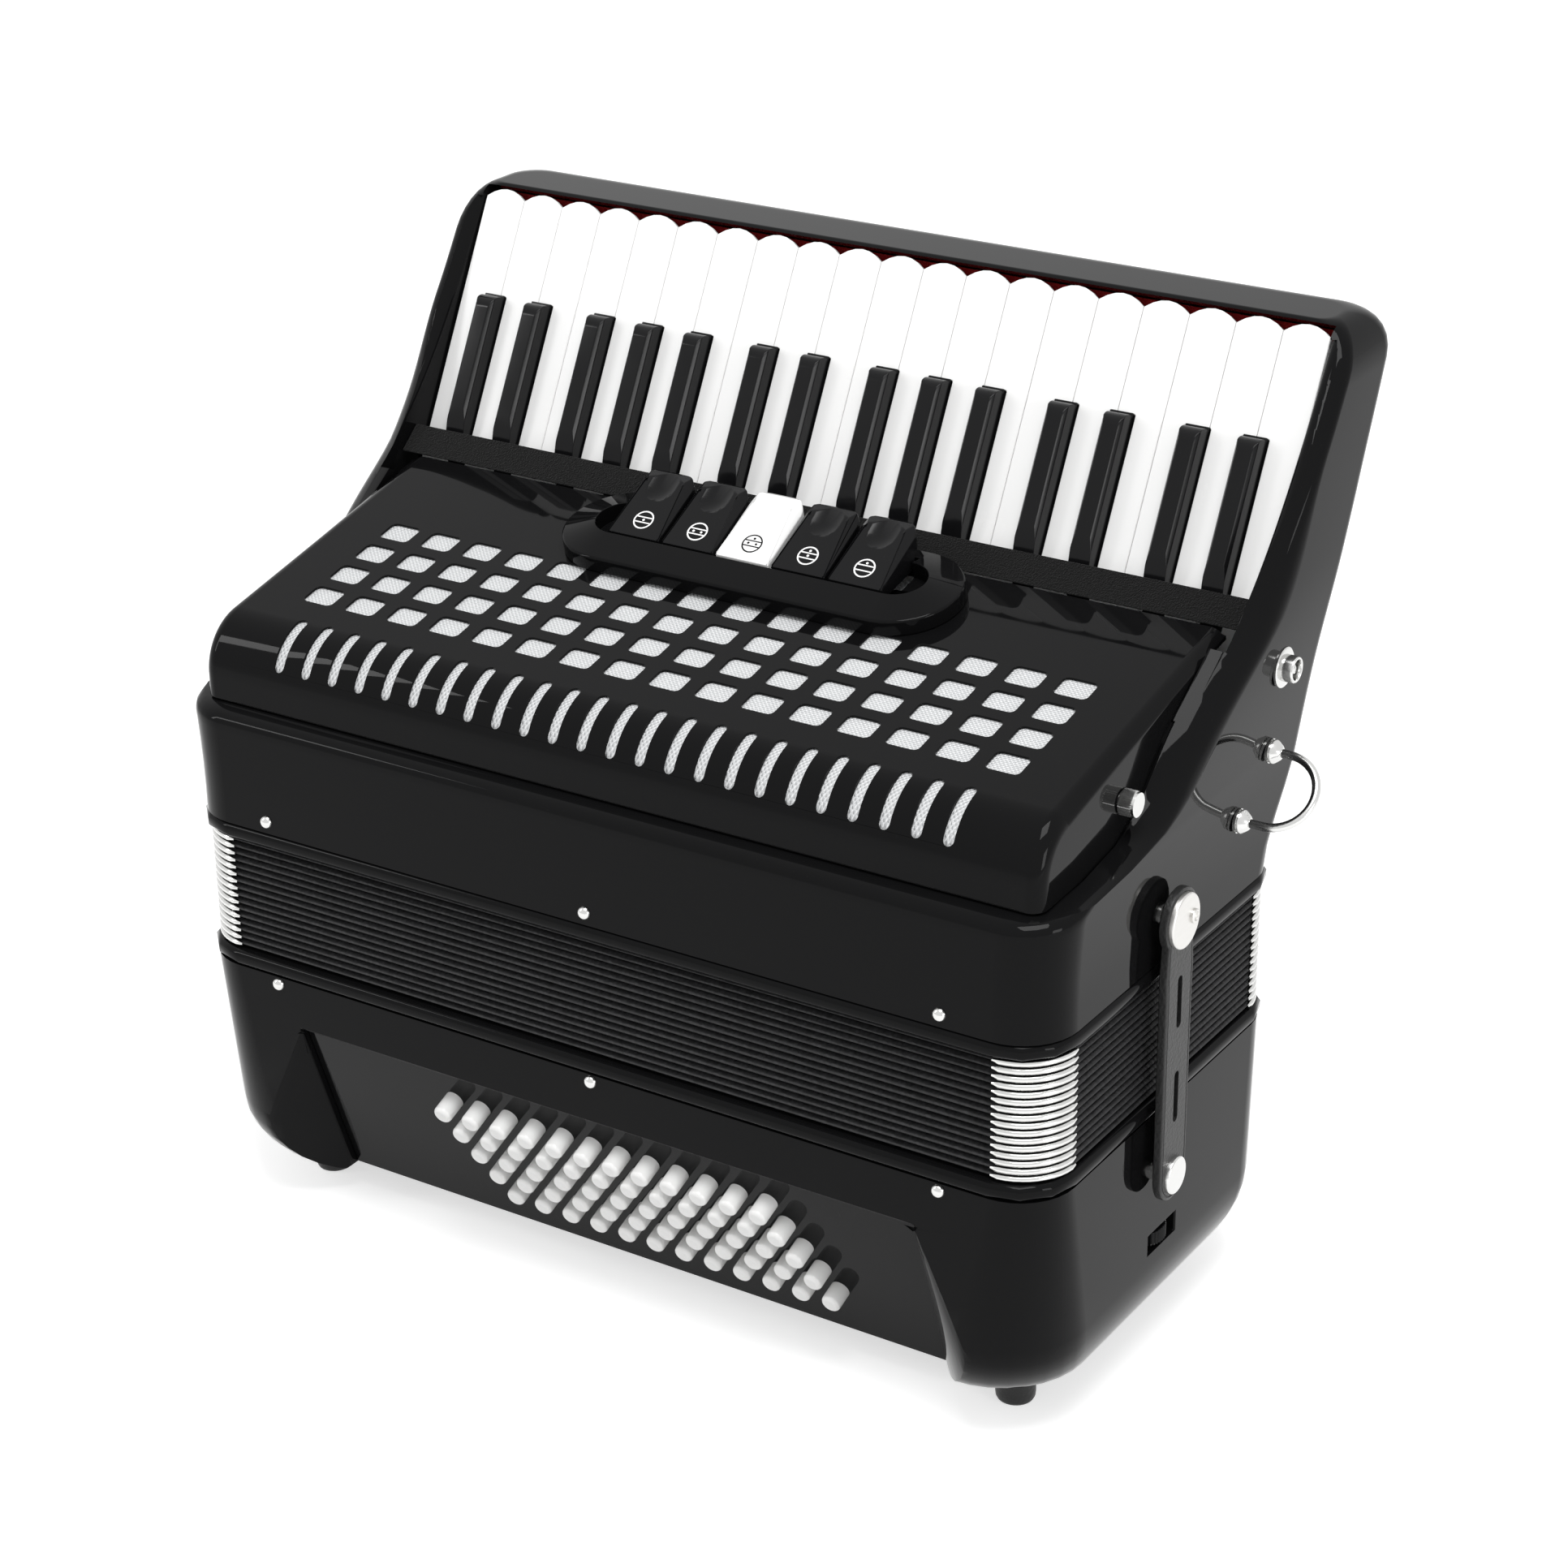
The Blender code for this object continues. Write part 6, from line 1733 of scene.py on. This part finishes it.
# %% Camera
CAMERA_RIGHT = Vector((0.8420, 0.5393, -0.0119))
CAMERA_DOWN = Vector((0.2155, -0.3565, -0.9091))
CAMERA_AHEAD = Vector((-0.4945, 0.7629, -0.4164))
CAMERA_PLACE = Vector((0.6943, -1.0332 + STAND_SHIFT, 0.7580))
LENS = 83.9
FRAME_PIXELS = 1932
MIDDLE_X = 959.2
MIDDLE_Y = 961.3


def stand_camera():
    data = bpy.data.cameras.new("camera")
    data.lens = LENS
    data.sensor_width = 36
    data.sensor_fit = "HORIZONTAL"
    data.shift_x = (FRAME_PIXELS / 2 - MIDDLE_X) / FRAME_PIXELS
    data.shift_y = (MIDDLE_Y - FRAME_PIXELS / 2) / FRAME_PIXELS
    camera = bpy.data.objects.new("camera", data)
    bpy.context.scene.collection.objects.link(camera)
    turn = Matrix((CAMERA_RIGHT, -CAMERA_DOWN, -CAMERA_AHEAD)).transposed().to_4x4()
    camera.matrix_world = Matrix.Translation(CAMERA_PLACE) @ turn
    bpy.context.scene.camera = camera


stand_camera()
print("camera lens:", LENS)

# %% Floor and world


def seen_white(tree, shader, plain):
    """White for camera, mirror and glass rays, and the plain shader for all other rays."""
    rays = tree.nodes.new("ShaderNodeLightPath")
    first = math_node(tree, "MAXIMUM", rays.outputs["Is Camera Ray"], rays.outputs["Is Glossy Ray"])
    mask = math_node(tree, "MAXIMUM", first, rays.outputs["Is Transmission Ray"])
    mix = tree.nodes.new("ShaderNodeMixShader")
    tree.links.new(mask, mix.inputs[0])
    tree.links.new(plain, mix.inputs[1])
    tree.links.new(shader, mix.inputs[2])
    return mix.outputs[0]


def white_floor():
    deselect()
    bpy.ops.mesh.primitive_plane_add(size=12)
    floor = bpy.context.object
    floor.name = "studio_floor"
    finish, tree, shader = new_finish("studio_floor", (0.72, 0.72, 0.72), 0.9)
    glow = tree.nodes.new("ShaderNodeEmission")
    glow.inputs["Strength"].default_value = 0.62
    both = tree.nodes.new("ShaderNodeAddShader")
    tree.links.new(shader.outputs[0], both.inputs[0])
    tree.links.new(glow.outputs[0], both.inputs[1])
    output = tree.nodes["Material Output"]
    tree.links.new(seen_white(tree, both.outputs[0], shader.outputs[0]), output.inputs["Surface"])
    floor.data.materials.append(finish)


def studio_world():
    world = bpy.data.worlds.new("studio")
    bpy.context.scene.world = world
    world.use_nodes = True
    tree = world.node_tree
    soft = tree.nodes["Background"]
    soft.inputs["Color"].default_value = (1, 1, 1, 1)
    soft.inputs["Strength"].default_value = 0.55
    white = tree.nodes.new("ShaderNodeBackground")
    white.inputs["Color"].default_value = (1, 1, 1, 1)
    white.inputs["Strength"].default_value = 1.0
    tree.links.new(seen_white(tree, white.outputs[0], soft.outputs[0]), tree.nodes["World Output"].inputs[0])


white_floor()
studio_world()

# %% Lamps


def softbox(name, place, aim, width, height, power):
    data = bpy.data.lights.new(name, "AREA")
    data.shape = "RECTANGLE"
    data.size = width
    data.size_y = height
    data.energy = power
    lamp = bpy.data.objects.new(name, data)
    bpy.context.scene.collection.objects.link(lamp)
    ahead = (Vector(aim) - Vector(place)).normalized()
    lamp.rotation_euler = ahead.to_track_quat("-Z", "Y").to_euler()
    lamp.location = place


softbox("top_light", (0.5, -0.5, 2.2), (0, 0, 0.2), 1.0, 1.0, 30)
softbox("right_light", (1.9, -0.5, 0.5), (0, 0, 0.3), 0.5, 0.7, 8)
softbox("left_strip", (-1.5, -1.2, 1.2), (0, 0, 0.3), 0.2, 1.1, 7)
bpy.context.scene.view_settings.view_transform = "Standard"
print("lamps:", len(bpy.data.lights))
